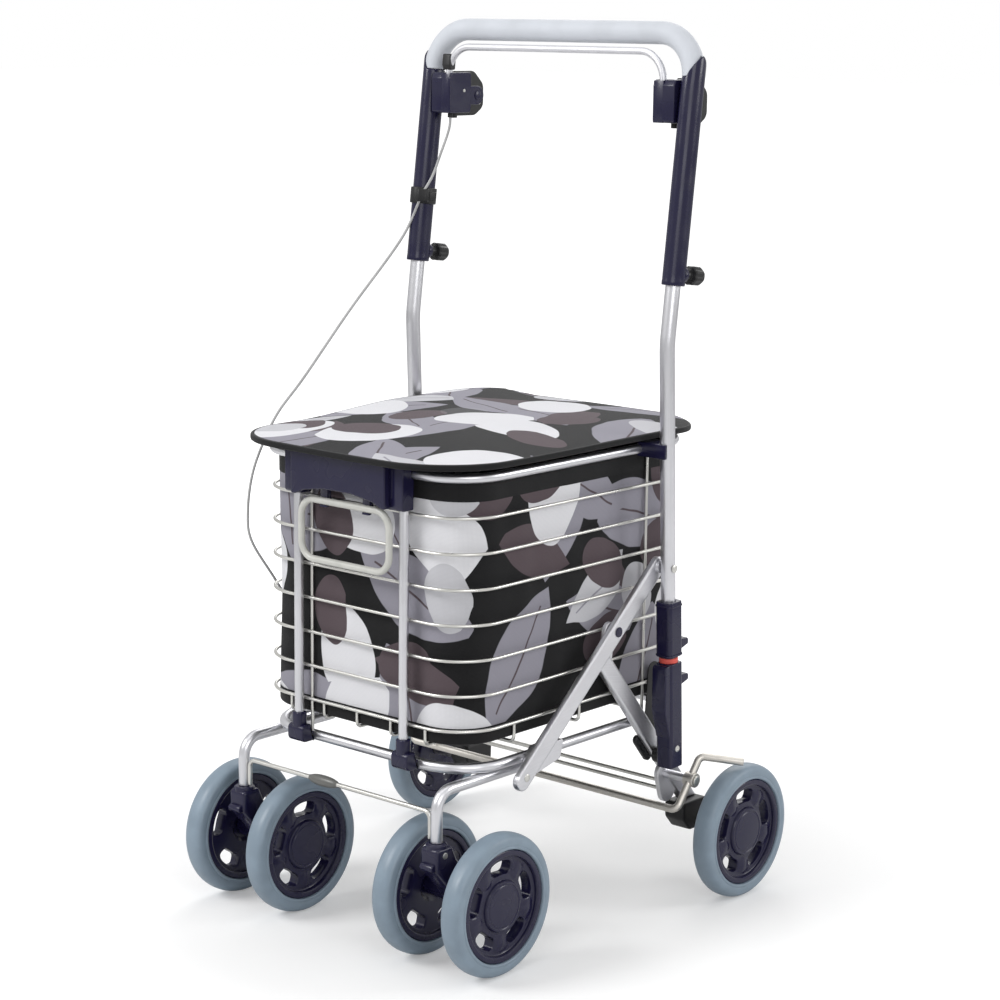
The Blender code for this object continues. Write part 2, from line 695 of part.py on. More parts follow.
def casters():
    half = FORK_WIDTH / 2
    wheel_face = CASTER_WHEEL_SPREAD - HUB_WEB_THICKNESS / 2 - GAP
    front, back = CASTER_STEM_Y - FORK_NECK_RADIUS, CASTER_STEM_Y + FORK_NECK_RADIUS
    shoulder = FORK_TOP - FORK_NECK_LENGTH / 2
    outline = [(front, shoulder), (front, FORK_TOP - FORK_FRONT_DROP)]
    outline += arc((0.0, AXLE_HEIGHT), FORK_FOOT_RADIUS, 225, 405, 8)
    outline += [(back + FORK_BACK_SWELL, FORK_TOP - FORK_BACK_DROP), (back, shoulder)]
    body = prism(outline, 0, CASTER_X - half, CASTER_X + half)
    stem = (CASTER_X, CASTER_STEM_Y)
    neck = rod((*stem, FORK_TOP - FORK_NECK_LENGTH), (*stem, FORK_TOP), FORK_NECK_RADIUS - GAP, 12)
    pin = rod((*stem, FORK_TOP - LAP), (*stem, FORK_TOP + STEM_PIN_LENGTH), STEM_PIN_RADIUS, 10)
    left, right = CASTER_X - wheel_face, CASTER_X + wheel_face
    boss = rod((left, 0.0, AXLE_HEIGHT), (right, 0.0, AXLE_HEIGHT), FORK_AXLE_BOSS_RADIUS, 12)
    left, right = left - OVERCUT, right + OVERCUT
    bore = rod((left, 0.0, AXLE_HEIGHT), (right, 0.0, AXLE_HEIGHT), AXLE_BORE_RADIUS, 12)
    fork = cut(joined(body, neck, pin, boss), bore)
    pivot = (CASTER_X, CASTER_STEM_Y, FORK_TOP)
    both_sides("caster_fork", fork, NAVY_PLASTIC, pivot)
    reach = CASTER_WHEEL_SPREAD + TYRE_WIDTH / 2
    left, right = CASTER_X - reach, CASTER_X + reach
    axle = headed_axle(left, right, 0.0)
    both_sides("caster_axle", axle, ALUMINIUM, (CASTER_X, 0.0, AXLE_HEIGHT))


def base_frame():
    path = oblong(BASE_HALF_WIDTH, BASE_FRONT, BASE_BACK, BASE_CORNER, BASE_HEIGHT)
    added("base_frame", tube(path, BASE_TUBE_RADIUS, 8, closed=True), ALUMINIUM)


def caster_tubes():
    corners = (
        (CASTER_X, CASTER_STEM_Y, STEM_BOTTOM),
        (CASTER_X, CASTER_STEM_Y, CASTER_TUBE_HEIGHT),
        (CASTER_X, CASTER_TUBE_BACK, CASTER_TUBE_HEIGHT),
    )
    bar = tube(bent(corners, CASTER_TUBE_BEND, 5), CASTER_TUBE_RADIUS, 10)
    depth = STEM_PIN_LENGTH + GAP
    low = (CASTER_X, CASTER_STEM_Y, STEM_BOTTOM - OVERCUT)
    bore = rod(low, (CASTER_X, CASTER_STEM_Y, FORK_TOP + depth), STEM_PIN_RADIUS + GAP, 10)
    both_sides("caster_tube", cut(bar, bore), ALUMINIUM)


def front_cross_rod():
    x = CASTER_X - CASTER_TUBE_RADIUS - CROSS_ROD_RADIUS - GAP
    low = STEM_BOTTOM + CROSS_ROD_FOOT
    corners = (
        (-x, CASTER_STEM_Y, low),
        (-x, CASTER_STEM_Y, CROSS_ROD_HEIGHT),
        (x, CASTER_STEM_Y, CROSS_ROD_HEIGHT),
        (x, CASTER_STEM_Y, low),
    )
    path = bent(corners, CROSS_ROD_BEND, 3)
    added("front_cross_rod", tube(path, CROSS_ROD_RADIUS, 6), BRIGHT_WIRE)


def standing_wires():
    """Wires that stand on the base frame and are welded inside the rings, up to the rim."""
    low, high = BASE_TOP + GAP, RIM_BOTTOM - GAP
    places = []
    for sign in (-1, 1):
        places.append((sign * FRONT_WIRE_X, INNER_WIRE_FRONT))
        places.append((sign * BACK_WIRE_X, INNER_WIRE_BACK))
        places.append((sign * INNER_WIRE_X, SIDE_WIRE_Y))
    return [tube([(x, y, low), (x, y, high)], WIRE_RADIUS, 6) for x, y in places]


def floor_wires():
    """Wires that cross under the bag and turn up to the lowest ring."""
    wires = []
    high, low = RING_HEIGHT, FLOOR_WIRE_HEIGHT
    for k in range(FLOOR_WIRE_COUNT):
        x = (k - (FLOOR_WIRE_COUNT - 1) / 2) * FLOOR_WIRE_PITCH_X
        ends = (x, INNER_WIRE_FRONT, high), (x, INNER_WIRE_BACK, high)
        turns = (x, INNER_WIRE_FRONT, low), (x, INNER_WIRE_BACK, low)
        path = bent((ends[0], turns[0], turns[1], ends[1]), FLOOR_WIRE_BEND, 3)
        wires.append(tube(path, WIRE_RADIUS, 6))
    low = FLOOR_WIRE_HEIGHT - WIRE_LAP
    for y in FLOOR_WIRE_Y:
        ends = (-INNER_WIRE_X, y, high), (INNER_WIRE_X, y, high)
        turns = (-INNER_WIRE_X, y, low), (INNER_WIRE_X, y, low)
        path = bent((ends[0], turns[0], turns[1], ends[1]), FLOOR_WIRE_BEND, 3)
        wires.append(tube(path, WIRE_RADIUS, 6))
    return wires


def basket_wire():
    ring = tube(
        oblong(RING_HALF_WIDTH, RING_FRONT, RING_BACK, RING_CORNER, 0.0),
        WIRE_RADIUS,
        6,
        closed=True,
    )
    rings = [moved(ring, (0, 0, RING_HEIGHT + k * RING_PITCH)) for k in range(RING_COUNT)]
    wires = standing_wires() + floor_wires()
    added("basket_wire", joined(wires[0], *wires[1:], *rings), BRIGHT_WIRE)


def rim_tube():
    path = oblong(RING_HALF_WIDTH, RING_FRONT, RING_BACK, RING_CORNER, RIM_HEIGHT)
    added("rim_tube", tube(path, RIM_TUBE_RADIUS, 8, closed=True), ALUMINIUM)


def posts():
    for side, sign in (("left", 1), ("right", -1)):
        x = sign * POST_X
        low = (x, POST_Y, POST_SEAT + POST_FOOT_BOTTOM)
        high = (x, POST_Y, PLATE_BOTTOM + POST_SOCKET_DEPTH)
        added("post_" + side, rod(low, high, POST_RADIUS, 12), ALUMINIUM)


def post_feet():
    """Blocks that hold the posts' lower ends against the base frame's front tube."""
    saddle = arc((BASE_FRONT, BASE_HEIGHT), BASE_TUBE_RADIUS + GAP, 130, 230, 5)
    back = RING_FRONT - WIRE_RADIUS + POST_FOOT_REACH
    front = POST_Y - POST_RADIUS - POST_FOOT_WALL
    outline = [(front, POST_FOOT_BOTTOM), (front, POST_FOOT_TOP), (back, POST_FOOT_TOP)]
    outline += [(back, BASE_TOP + SIDE_GAP)] + saddle + [(saddle[-1][0], POST_FOOT_BOTTOM)]
    low, high = POST_X - POST_FOOT_HALF_WIDTH, POST_X + POST_FOOT_HALF_WIDTH
    block = prism(outline, 0, low, high)
    bottom, top = POST_FOOT_BOTTOM + POST_SEAT - GAP, POST_FOOT_TOP + OVERCUT
    socket = rod((POST_X, POST_Y, bottom), (POST_X, POST_Y, top), POST_RADIUS + GAP, 12)
    both_sides("post_foot", cut(block, socket), NAVY_PLASTIC)


def front_plate():
    """The plate between the post tops, which hooks over the rim and carries the loop."""
    wide, arch = PLATE_HALF_WIDTH, PLATE_ARCH_HALF_WIDTH
    turn = arch - PLATE_ARCH_RISE
    lower = PLATE_BOTTOM + PLATE_ARCH_RISE
    half = arc((turn, PLATE_BOTTOM), PLATE_ARCH_RISE, 90, 0, 2)
    half += [(wide, PLATE_BOTTOM), (wide, PLATE_TOP)]
    outline = half + [(-x, z) for x, z in reversed(half)]
    plate = prism(outline, 1, PLATE_FRONT, PLATE_FRONT + PLATE_WALL)
    pieces = []
    hook = arc((RING_FRONT, RIM_HEIGHT), RIM_TUBE_RADIUS + GAP, 250, 90, 7)
    back = hook[0][0]
    profile = [(PLATE_FRONT + LAP, PLATE_TOP), (PLATE_FRONT + LAP, PLATE_BOTTOM)]
    profile += [(back, PLATE_BOTTOM), *hook, (RING_FRONT, PLATE_TOP)]
    for sign in (-1, 1):
        near, far = sorted((sign * (wide - PLATE_BLOCK_WIDTH), sign * (wide - GAP)))
        pieces.append(prism(profile, 0, near, far))
    inner = LOOP_ROD_RADIUS + GAP
    wall = inner + LOOP_HOOK_WALL
    curl = arc(LOOP_PIVOT, inner, -100, 90, 7)
    stem = (PLATE_FRONT + PLATE_WALL - LAP, lower + LOOP_HOOK_RISE)
    curl += [(LOOP_PIVOT[0], lower - LOOP_HOOK_WALL), (stem[0], lower), stem]
    curl += [(LOOP_PIVOT[0] + wall, stem[1])] + arc(LOOP_PIVOT, wall, 0, -100, 5)
    for sign in (-1, 1):
        near = sign * LOOP_HOOK_X - LOOP_HOOK_WIDTH / 2
        pieces.append(prism(curl, 0, near, near + LOOP_HOOK_WIDTH))
    sockets = []
    top = PLATE_BOTTOM + POST_SOCKET_DEPTH + GAP
    for sign in (-1, 1):
        x = sign * POST_X
        low = (x, POST_Y, PLATE_BOTTOM - OVERCUT)
        sockets.append(rod(low, (x, POST_Y, top), POST_RADIUS + GAP))
    added("front_plate", cut(joined(plate, *pieces), *sockets), NAVY_PLASTIC)


def carry_loop():
    y, high = LOOP_PIVOT
    low, wide = LOOP_BOTTOM + LOOP_ROD_RADIUS, LOOP_HALF_WIDTH - LOOP_ROD_RADIUS
    corners = ((-wide, y, low), (wide, y, low), (wide, y, high), (-wide, y, high))
    path = bent(corners, LOOP_CORNER, 3, closed=True)
    loop = tube(path, LOOP_ROD_RADIUS, 8, closed=True)
    added("carry_loop", loop, BRIGHT_WIRE, (0.0, *LOOP_PIVOT))


def shell(loops):
    """A closed shape through rings of points that are as many in each, with flat ends."""
    shape = bmesh.new()
    rows = [[shape.verts.new(point) for point in loop] for loop in loops]
    for one, two in zip(rows, rows[1:]):
        for k in range(len(one)):
            shape.faces.new((one[k], one[k - 1], two[k - 1], two[k]))
    shape.faces.new(rows[0])
    shape.faces.new(reversed(rows[-1]))
    return mesh_of(shape)


def bag():
    def loop(inset, height):
        corner = BAG_CORNER - inset
        return oblong(BAG_HALF_WIDTH - inset, BAG_FRONT + inset, BAG_BACK - inset, corner, height, 4)

    top = RIM_HEIGHT - BAG_RIM_DROP
    turn = BAG_BOTTOM_RADIUS
    loops = [
        loop(turn, BAG_BOTTOM),
        loop(turn * 0.3, BAG_BOTTOM + turn * 0.3),
        loop(0.0, BAG_BOTTOM + turn),
        loop(0.0, top),
        loop(BAG_WALL, top),
        loop(BAG_WALL, BAG_BOTTOM + turn),
        loop(BAG_WALL + turn * 0.8, BAG_BOTTOM + BAG_WALL),
    ]
    added("bag", shell(loops), BAG_CLOTH)


def lid():
    """A crowned board with a bound edge and two straps round the rim's rear tube."""

    def loop(share, height):
        middle, half = (LID_FRONT + LID_BACK) / 2, (LID_BACK - LID_FRONT) / 2 * share
        corner = LID_CORNER * share
        wide = LID_HALF_WIDTH * share
        return oblong(wide, middle - half, middle + half, corner, LID_BOTTOM + height, 4)

    edge = LID_EDGE_THICKNESS
    rounded = 1 - LID_EDGE_ROUNDING / LID_HALF_WIDTH
    bound = 1 - LID_EDGE_WIDTH / LID_HALF_WIDTH
    top = [(1.0, edge / 4), (1.0, edge * 3 / 4), (rounded, edge)]
    for share in (0.8, 0.5, 0.2):
        top.append((share, edge + LID_CROWN * (1 - share**LID_CROWN_POWER)))
    under = [(share, height - LID_BOARD_THICKNESS) for share, height in reversed(top[3:])]
    under += [(bound, 0.0), (rounded, 0.0)]
    board = shell([loop(*pair) for pair in under + top])
    hinge = (RING_BACK, RIM_HEIGHT)
    inner = RIM_TUBE_RADIUS + GAP
    wall = inner + LID_STRAP_WALL
    curl = arc(hinge, inner, -35, 110, 6)
    curl += [(hinge[0] - LID_STRAP_ROOT, LID_BOTTOM + edge), (hinge[0] + wall, LID_BOTTOM + edge)]
    curl += arc(hinge, wall, 0, -35, 2)
    straps = []
    for sign in (-1, 1):
        near = sign * LID_STRAP_X - LID_STRAP_WIDTH / 2
        straps.append(prism(curl, 0, near, near + LID_STRAP_WIDTH))
    added("lid", joined(board, *straps), BAG_CLOTH, (0.0, *hinge))


def front_legs():
    """The slanting bars with their gussets, the spacers and the pins that carry the uprights."""
    radius = LEG_WIDTH / 2
    outline = stadium((FRONT_LEG_Y, FRONT_LEG_Z), FRONT_PIVOT, radius)
    bar = prism(outline, 0, FRONT_LEG_X, FRONT_LEG_OUTER_X, LEG_EDGE_ROUNDING)
    near = BASE_HALF_WIDTH + BASE_TUBE_RADIUS + GAP
    gusset = prism(GUSSET_OUTLINE, 0, near, FRONT_LEG_OUTER_X - LAP)
    hole = rod((near - OVERCUT, *GUSSET_HOLE), (FRONT_LEG_X, *GUSSET_HOLE), GUSSET_HOLE_RADIUS)
    root = (FRONT_LEG_X + LAP, *FRONT_PIVOT)
    spacer_end = UPRIGHT_X - UPRIGHT_RADIUS - GAP
    spacer = rod(root, (spacer_end, *FRONT_PIVOT), LEG_SPACER_RADIUS)
    pin_end = UPRIGHT_X + UPRIGHT_RADIUS + GAP
    head_end = pin_end + PIN_HEAD_THICKNESS
    pin = rod(root, (pin_end + LAP, *FRONT_PIVOT), PIVOT_PIN_RADIUS)
    head = rod((pin_end, *FRONT_PIVOT), (head_end, *FRONT_PIVOT), PIN_HEAD_RADIUS)
    near, far = FRONT_LEG_X - OVERCUT, UPRIGHT_X
    bore = rod((near, *FOLD_PIVOT), (far, *FOLD_PIVOT), PIVOT_PIN_RADIUS + GAP)
    leg = cut(joined(bar, gusset, spacer, pin, head), hole, bore)
    both_sides("front_leg", leg, ALUMINIUM)


def rear_leg_outline():
    """The rear leg in side view: a round top, straight sides and a level end on the foot."""
    aim = (AXLE_SPAN, REAR_LEG_AIM_HEIGHT)
    run = math.hypot(aim[0] - REAR_LEG_TOP[0], aim[1] - REAR_LEG_TOP[1])
    slope = ((aim[0] - REAR_LEG_TOP[0]) / run, (aim[1] - REAR_LEG_TOP[1]) / run)
    heading = math.degrees(math.atan2(slope[1], slope[0]))
    top = arc(REAR_LEG_TOP, LEG_WIDTH / 2, heading + 90, heading + 270, 6)
    level = FOOT_TOP + GAP
    ends = [on_line(point, slope, (level - point[1]) / slope[1]) for point in (top[-1], top[0])]
    return top + ends


def rear_legs():
    middle = REAR_LEG_X + REAR_LEG_THICKNESS / 2
    near, far = middle - LUG_THICKNESS / 2, middle + LUG_THICKNESS / 2
    leg = prism(rear_leg_outline(), 0, REAR_LEG_X, REAR_LEG_OUTER_X, LEG_EDGE_ROUNDING)
    bracket = prism(stadium(REAR_LEG_TOP, FOLD_PIVOT, REAR_LEG_BRACKET_RADIUS), 0, near, far)
    lug = prism(stadium(BRAKE_PIVOT, REAR_ROD_LOWER, LUG_RADIUS), 0, near, far)
    head = FRONT_LEG_OUTER_X + GAP
    stop = head + FOLD_PIN_HEAD_THICKNESS
    fold_pin = rod((middle, *FOLD_PIVOT), (head, *FOLD_PIVOT), PIVOT_PIN_RADIUS)
    fold_head = rod((head, *FOLD_PIVOT), (stop, *FOLD_PIVOT), PIN_HEAD_RADIUS)
    head = BRAKE_ARM_X + BRAKE_EYE_WIDTH / 2 + GAP
    stop = head + PIN_HEAD_THICKNESS
    brake_pin = rod((middle, *BRAKE_PIVOT), (head, *BRAKE_PIVOT), PIVOT_PIN_RADIUS)
    brake_head = rod((head, *BRAKE_PIVOT), (stop, *BRAKE_PIVOT), PIN_HEAD_RADIUS)
    shoulder = BRAKE_ARM_X - BRAKE_EYE_WIDTH / 2 - GAP
    brake_spacer = rod((middle, *BRAKE_PIVOT), (shoulder, *BRAKE_PIVOT), BRAKE_SPACER_RADIUS)
    parts = (bracket, lug, fold_pin, fold_head, brake_pin, brake_head, brake_spacer)
    both_sides("rear_leg", joined(leg, *parts), ALUMINIUM, (REAR_LEG_X, *FOLD_PIVOT))


def rear_feet():
    outline = [(FOOT_FRONT, FOOT_TOP), (FOOT_FRONT, FOOT_BOTTOM + FOOT_CHAMFER_RISE)]
    outline += [(FOOT_FRONT + FOOT_CHAMFER_RUN, FOOT_BOTTOM), (FOOT_BACK, FOOT_BOTTOM)]
    outline += [(FOOT_BACK, FOOT_TOP)]
    block = prism(outline, 0, FOOT_INNER_X, FOOT_OUTER_X)
    start, end = FOOT_INNER_X - OVERCUT, FOOT_OUTER_X + OVERCUT
    bore = rod((start, AXLE_SPAN, AXLE_HEIGHT), (end, AXLE_SPAN, AXLE_HEIGHT), AXLE_BORE_RADIUS)
    pivot = (REAR_LEG_X, *FOLD_PIVOT)
    both_sides("rear_foot", cut(block, bore), BLACK_PLASTIC, pivot)
    inner = FOOT_INNER_X - AXLE_HEAD_THICKNESS - GAP
    outer = REAR_WHEEL_X + TYRE_WIDTH / 2
    near, far = FOOT_OUTER_X + GAP, REAR_WHEEL_X - HUB_WEB_THICKNESS / 2 - GAP
    axle = headed_axle(inner, outer, AXLE_SPAN, ((near, far),))
    both_sides("rear_axle", axle, ALUMINIUM, pivot)


def rear_rods():
    """Two thin rods between the rear legs: between their faces, and between their lugs."""
    middle = REAR_LEG_X + REAR_LEG_THICKNESS / 2
    rods = (
        ("rear_rod_upper", REAR_ROD_UPPER, REAR_LEG_X - GAP),
        ("rear_rod_lower", REAR_ROD_LOWER, middle - LUG_THICKNESS / 2 - GAP),
    )
    for name, place, x in rods:
        bar = rod((-x, *place), (x, *place), REAR_ROD_RADIUS, 8)
        added(name, bar, BRIGHT_WIRE, (0.0, *FOLD_PIVOT))


def brake_bar():
    arm = (BRAKE_ARM_X, BRAKE_BAR_Y, BRAKE_BAR_Z)
    top = (BRAKE_ARM_X, *BRAKE_ARM_TOP)
    half = [BRAKE_SHOE, top, arm]
    corners = half + [(-x, y, z) for x, y, z in reversed(half)]
    bar = tube(bent(corners, BRAKE_BEND, 3), BRAKE_BAR_RADIUS, 8)
    eyes, bores = [], []
    for sign in (-1, 1):
        near, far = (sign * (BRAKE_ARM_X + side * BRAKE_EYE_WIDTH / 2) for side in (-1, 1))
        eyes.append(rod((near, *BRAKE_PIVOT), (far, *BRAKE_PIVOT), BRAKE_EYE_RADIUS, 12))
        near, far = near - sign * OVERCUT, far + sign * OVERCUT
        bores.append(rod((near, *BRAKE_PIVOT), (far, *BRAKE_PIVOT), PIVOT_PIN_RADIUS + GAP))
    added("brake_bar", cut(joined(bar, *eyes), *bores), BRIGHT_WIRE, (0.0, *BRAKE_PIVOT))


def upright_path(x):
    """The tube's line: up from its foot, a bend, and on along the sleeve's axis."""
    foot = (x, UPRIGHT_FOOT_Y, UPRIGHT_FOOT_Z)
    bend = (x, BEND_Y, UPRIGHT_BEND_HEIGHT)
    return bent((foot, bend, handle_point(x, 0.0, UPRIGHT_TOP_REACH)), UPRIGHT_BEND_RADIUS, 3)


def uprights():
    bar = tube(upright_path(UPRIGHT_X), UPRIGHT_RADIUS, 12)
    reach = UPRIGHT_RADIUS + OVERCUT
    start, end = UPRIGHT_X - reach, UPRIGHT_X + reach
    bore = rod((start, *FRONT_PIVOT), (end, *FRONT_PIVOT), PIVOT_PIN_RADIUS + GAP)
    both_sides("upright", cut(bar, bore), ALUMINIUM, (UPRIGHT_X, *FRONT_PIVOT))


def slider(bottom, top, tab):
    """A block round the upright with a finger tab at its back, before it is put on the tube."""
    near, far = SLIDER_INNER_X - UPRIGHT_X, SLIDER_OUTER_X - UPRIGHT_X
    half, turn = SLIDER_DEPTH / 2, SLIDER_ROUNDING
    corners = ((near, -half, 0.0), (far, -half, 0.0), (far, half, 0.0), (near, half, 0.0))
    outline = [(point.x, point.y) for point in bent(corners, turn, 3, closed=True)]
    block = prism(outline, 2, bottom, top)
    middle = (near + far) / 2
    low, high = tab - TAB_HEIGHT / 2, tab + TAB_HEIGHT / 2
    root, tip = half - LAP, half + TAB_REACH
    side = ((root, low), (tip, low + TAB_TAPER), (tip, high), (root, high))
    finger = prism(side, 0, middle - TAB_WIDTH / 2, middle + TAB_WIDTH / 2)
    return block, finger


def upright_bore():
    low, high = HOUSING_BOTTOM - OVERCUT, COLLAR_TOP + OVERCUT
    return rod((0.0, 0.0, low), (0.0, 0.0, high), UPRIGHT_BORE, 24)


def lock_housings():
    """Housings on the uprights' lower ends, with the stub that meets the rear leg."""
    block, finger = slider(HOUSING_BOTTOM, HOUSING_TOP, HOUSING_TAB)
    start = SLIDER_INNER_X - UPRIGHT_X + LAP
    end = REAR_LEG_OUTER_X + GAP - UPRIGHT_X
    stub = rod((start, 0.0, 0.0), (end, 0.0, 0.0), SLIDE_PIN_RADIUS, 12)
    housing = upright_frame(cut(joined(block, finger, stub), upright_bore()))
    pivot = (UPRIGHT_X, UPRIGHT_FOOT_Y, UPRIGHT_FOOT_Z)
    both_sides("lock_housing", housing, NAVY_PLASTIC, pivot)


def lock_collars():
    block, finger = slider(COLLAR_BOTTOM, COLLAR_TOP, COLLAR_TAB)
    collar = upright_frame(cut(joined(block, finger), upright_bore()))
    pivot = (UPRIGHT_X, UPRIGHT_FOOT_Y, UPRIGHT_FOOT_Z)
    both_sides("lock_collar", collar, NAVY_PLASTIC, pivot)


def rim_clips():
    """Blocks on the rim that the standing uprights lean into from behind."""
    hook = arc((RING_HALF_WIDTH, RIM_HEIGHT), RIM_TUBE_RADIUS + GAP, 90, -90, 6)
    high, low = RIM_HEIGHT + CLIP_HALF_HEIGHT, RIM_HEIGHT - CLIP_HALF_HEIGHT
    outer = UPRIGHT_X - CLIP_SHORT
    outline = [(outer, low), (outer, high), (RING_HALF_WIDTH, high), *hook]
    outline += [(RING_HALF_WIDTH, low)]
    level = RIM_HEIGHT - UPRIGHT_FOOT_Z
    centre = UPRIGHT_FOOT_Y + math.tan(UPRIGHT_LEAN) * level
    block = prism(outline, 1, centre - CLIP_AHEAD, centre + CLIP_BEHIND)
    wide, back = UPRIGHT_BORE + GAP, CLIP_BEHIND + OVERCUT
    slot = arc((0.0, 0.0), wide, 180, 360, 12) + [(wide, back), (-wide, back)]
    cutter = upright_frame(prism(slot, 2, level - OVERCUT * 2, level + OVERCUT * 2))
    both_sides("rim_clip", cut(block, cutter), NAVY_PLASTIC)


def handle_path(start):
    """The pushing tube's line: up inside one sleeve, across and down inside the other."""
    corners = (
        handle_point(-UPRIGHT_X, 0.0, start),
        handle_point(-UPRIGHT_X, 0.0, GRIP_REACH),
        handle_point(UPRIGHT_X, 0.0, GRIP_REACH),
        handle_point(UPRIGHT_X, 0.0, start),
    )
    return bent(corners, GRIP_CORNER, 5)


def slanted_block(sign, lift, end):
    """A block from the slanting line of one sleeve's top, lifted by a gap, to a level end."""
    rise = (SLEEVE_TOP_OUTER - SLEEVE_TOP_INNER) / (2 * SLEEVE_HALF_WIDTH)
    reach = SLEEVE_HALF_WIDTH + SLANT_REACH
    middle = (SLEEVE_TOP_INNER + SLEEVE_TOP_OUTER) / 2 + lift
    outline = [(-reach, middle - reach * rise), (reach, middle + reach * rise)]
    outline += [(reach, end), (-reach, end)]
    y = handle_point(0.0, 0.0, GRIP_REACH)[1]
    ends = [(sign * (UPRIGHT_X + x), z) for x, z in outline]
    return prism(ends, 1, y - 2 * SLANT_REACH, y + 2 * SLANT_REACH)


def sleeves():
    """Oval mouldings round the uprights' tops, cut on a slant where the grip begins."""
    outline = oval(SLEEVE_HALF_WIDTH, SLEEVE_HALF_DEPTH)
    body = handle_frame(prism(outline, 2, SLEEVE_BOTTOM_REACH, GRIP_REACH))
    passage = tube(handle_path(SLEEVE_BOTTOM_REACH - OVERCUT), UPRIGHT_BORE, 16)
    start = handle_point(UPRIGHT_X, 0.0, KNOB_REACH)
    end = handle_point(UPRIGHT_X, SLEEVE_HALF_DEPTH + OVERCUT, KNOB_REACH)
    knob_hole = rod(start, end, KNOB_SCREW_RADIUS + GAP)
    top = slanted_block(1, 0.0, GRIP_HEIGHT + SLANT_REACH)
    sleeve = cut(body, top, passage, knob_hole)
    both_sides("sleeve", sleeve, NAVY_PLASTIC)


def grip():
    """The soft grip over the pushing tube, from sleeve to sleeve."""
    outer = tube(handle_path(HANDLE_TUBE_START), GRIP_RADIUS, 14)
    passage = tube(handle_path(HANDLE_TUBE_START - OVERCUT), UPRIGHT_BORE, 12)
    below = [slanted_block(sign, GAP * 1.5, UPRIGHT_BEND_HEIGHT) for sign in (-1, 1)]
    added("grip", cut(outer, passage, *below), GRIP_FOAM)
    inner_tube = tube(handle_path(HANDLE_TUBE_START), UPRIGHT_RADIUS, 8)
    added("handle_tube", inner_tube, ALUMINIUM)


def knobs():
    """Clamping knobs at the backs of the sleeves, drawn with their screws clear of the tubes."""
    middle = Vector(handle_point(UPRIGHT_X, 0.0, KNOB_REACH))
    tip = UPRIGHT_RADIUS + SIDE_GAP
    start = Vector(handle_point(UPRIGHT_X, tip, KNOB_REACH))
    wall = SLEEVE_HALF_DEPTH + GAP - tip
    neck = wall + KNOB_STEM_LENGTH
    end = neck + KNOB_LENGTH
    profile = (
        (KNOB_SCREW_RADIUS, 0.0),
        (KNOB_SCREW_RADIUS, wall),
        (KNOB_NECK_RADIUS, wall),
        (KNOB_NECK_RADIUS, neck),
        (KNOB_RADIUS - KNOB_EDGE, neck),
        (KNOB_RADIUS, neck + KNOB_EDGE),
        (KNOB_RADIUS, end - KNOB_EDGE),
        (KNOB_RADIUS - KNOB_EDGE, end),
    )
    knob = turned(profile, start, start - middle, 12)
    both_sides("knob", knob, BLACK_PLASTIC, start)


def cable_band():
    """The band that holds the cable against the right sleeve."""
    reach = (BAND_HEIGHT - UPRIGHT_BEND_HEIGHT) / math.cos(SLEEVE_LEAN)
    low, high = reach - BAND_LENGTH / 2, reach + BAND_LENGTH / 2
    wide, deep = SLEEVE_HALF_WIDTH + GAP, SLEEVE_HALF_DEPTH + GAP
    ring = prism(oval(wide + BAND_WALL, deep + BAND_WALL), 2, low, high)
    hole = prism(oval(wide, deep), 2, low - OVERCUT, high + OVERCUT)
    front, aside = -deep - CABLE_RADIUS - BAND_LUG_STAND_OFF, BAND_LUG_HALF_WIDTH
    outline = stadium((-aside, front), (aside, front), CABLE_RADIUS + BAND_WALL)
    lug = prism(outline, 2, low + LAP, high - LAP)
    band = mirrored(handle_frame(cut(joined(ring, lug), hole)))
    way = [point for point in cable_route() if abs(point[2] - BAND_HEIGHT) < 2 * BAND_LENGTH]
    passage = tube(way, CABLE_RADIUS + GAP, 8)
    added("cable_band", cut(band, passage), BLACK_PLASTIC)


def lever_blocks():
    """Blocks at the sleeves' inner sides that hold the brake lever between plates."""
    face = UPRIGHT_X - SLEEVE_HALF_WIDTH - GAP
    low = (BLOCK_INNER_X, SLOT_FRONT - BLOCK_WALL, BLOCK_BOTTOM)
    block = box(low, (face, BLOCK_BACK, BLOCK_TOP))
    back = DISC_CENTRE[0] + DISC_RADIUS + OVERCUT
    floor = BLOCK_BOTTOM + 2 * BLOCK_WALL
    slot = box((SLOT_NEAR_X, SLOT_FRONT, floor), (SLOT_FAR_X, back, BLOCK_TOP + OVERCUT))
    outline = circle(DISC_CENTRE, DISC_RADIUS, DISC_SIDES)
    plate = prism(outline, 0, SLOT_FAR_X, SLOT_FAR_X + DISC_THICKNESS)
    ear_radius = LEVER_EYE_RADIUS + BLOCK_WALL
    ear_outline = stadium((BLOCK_BACK - ear_radius, LEVER_PIVOT[1]), LEVER_PIVOT, ear_radius)
    ear = prism(ear_outline, 0, BLOCK_INNER_X, SLOT_NEAR_X)
    near, far = SLOT_NEAR_X - LAP, SLOT_FAR_X + LAP
    pin = rod((near, *LEVER_PIVOT), (far, *LEVER_PIVOT), PIVOT_PIN_RADIUS)
    gripped = joined(cut(joined(block, plate, ear), slot), pin)
    both_sides("lever_block", gripped, NAVY_PLASTIC)


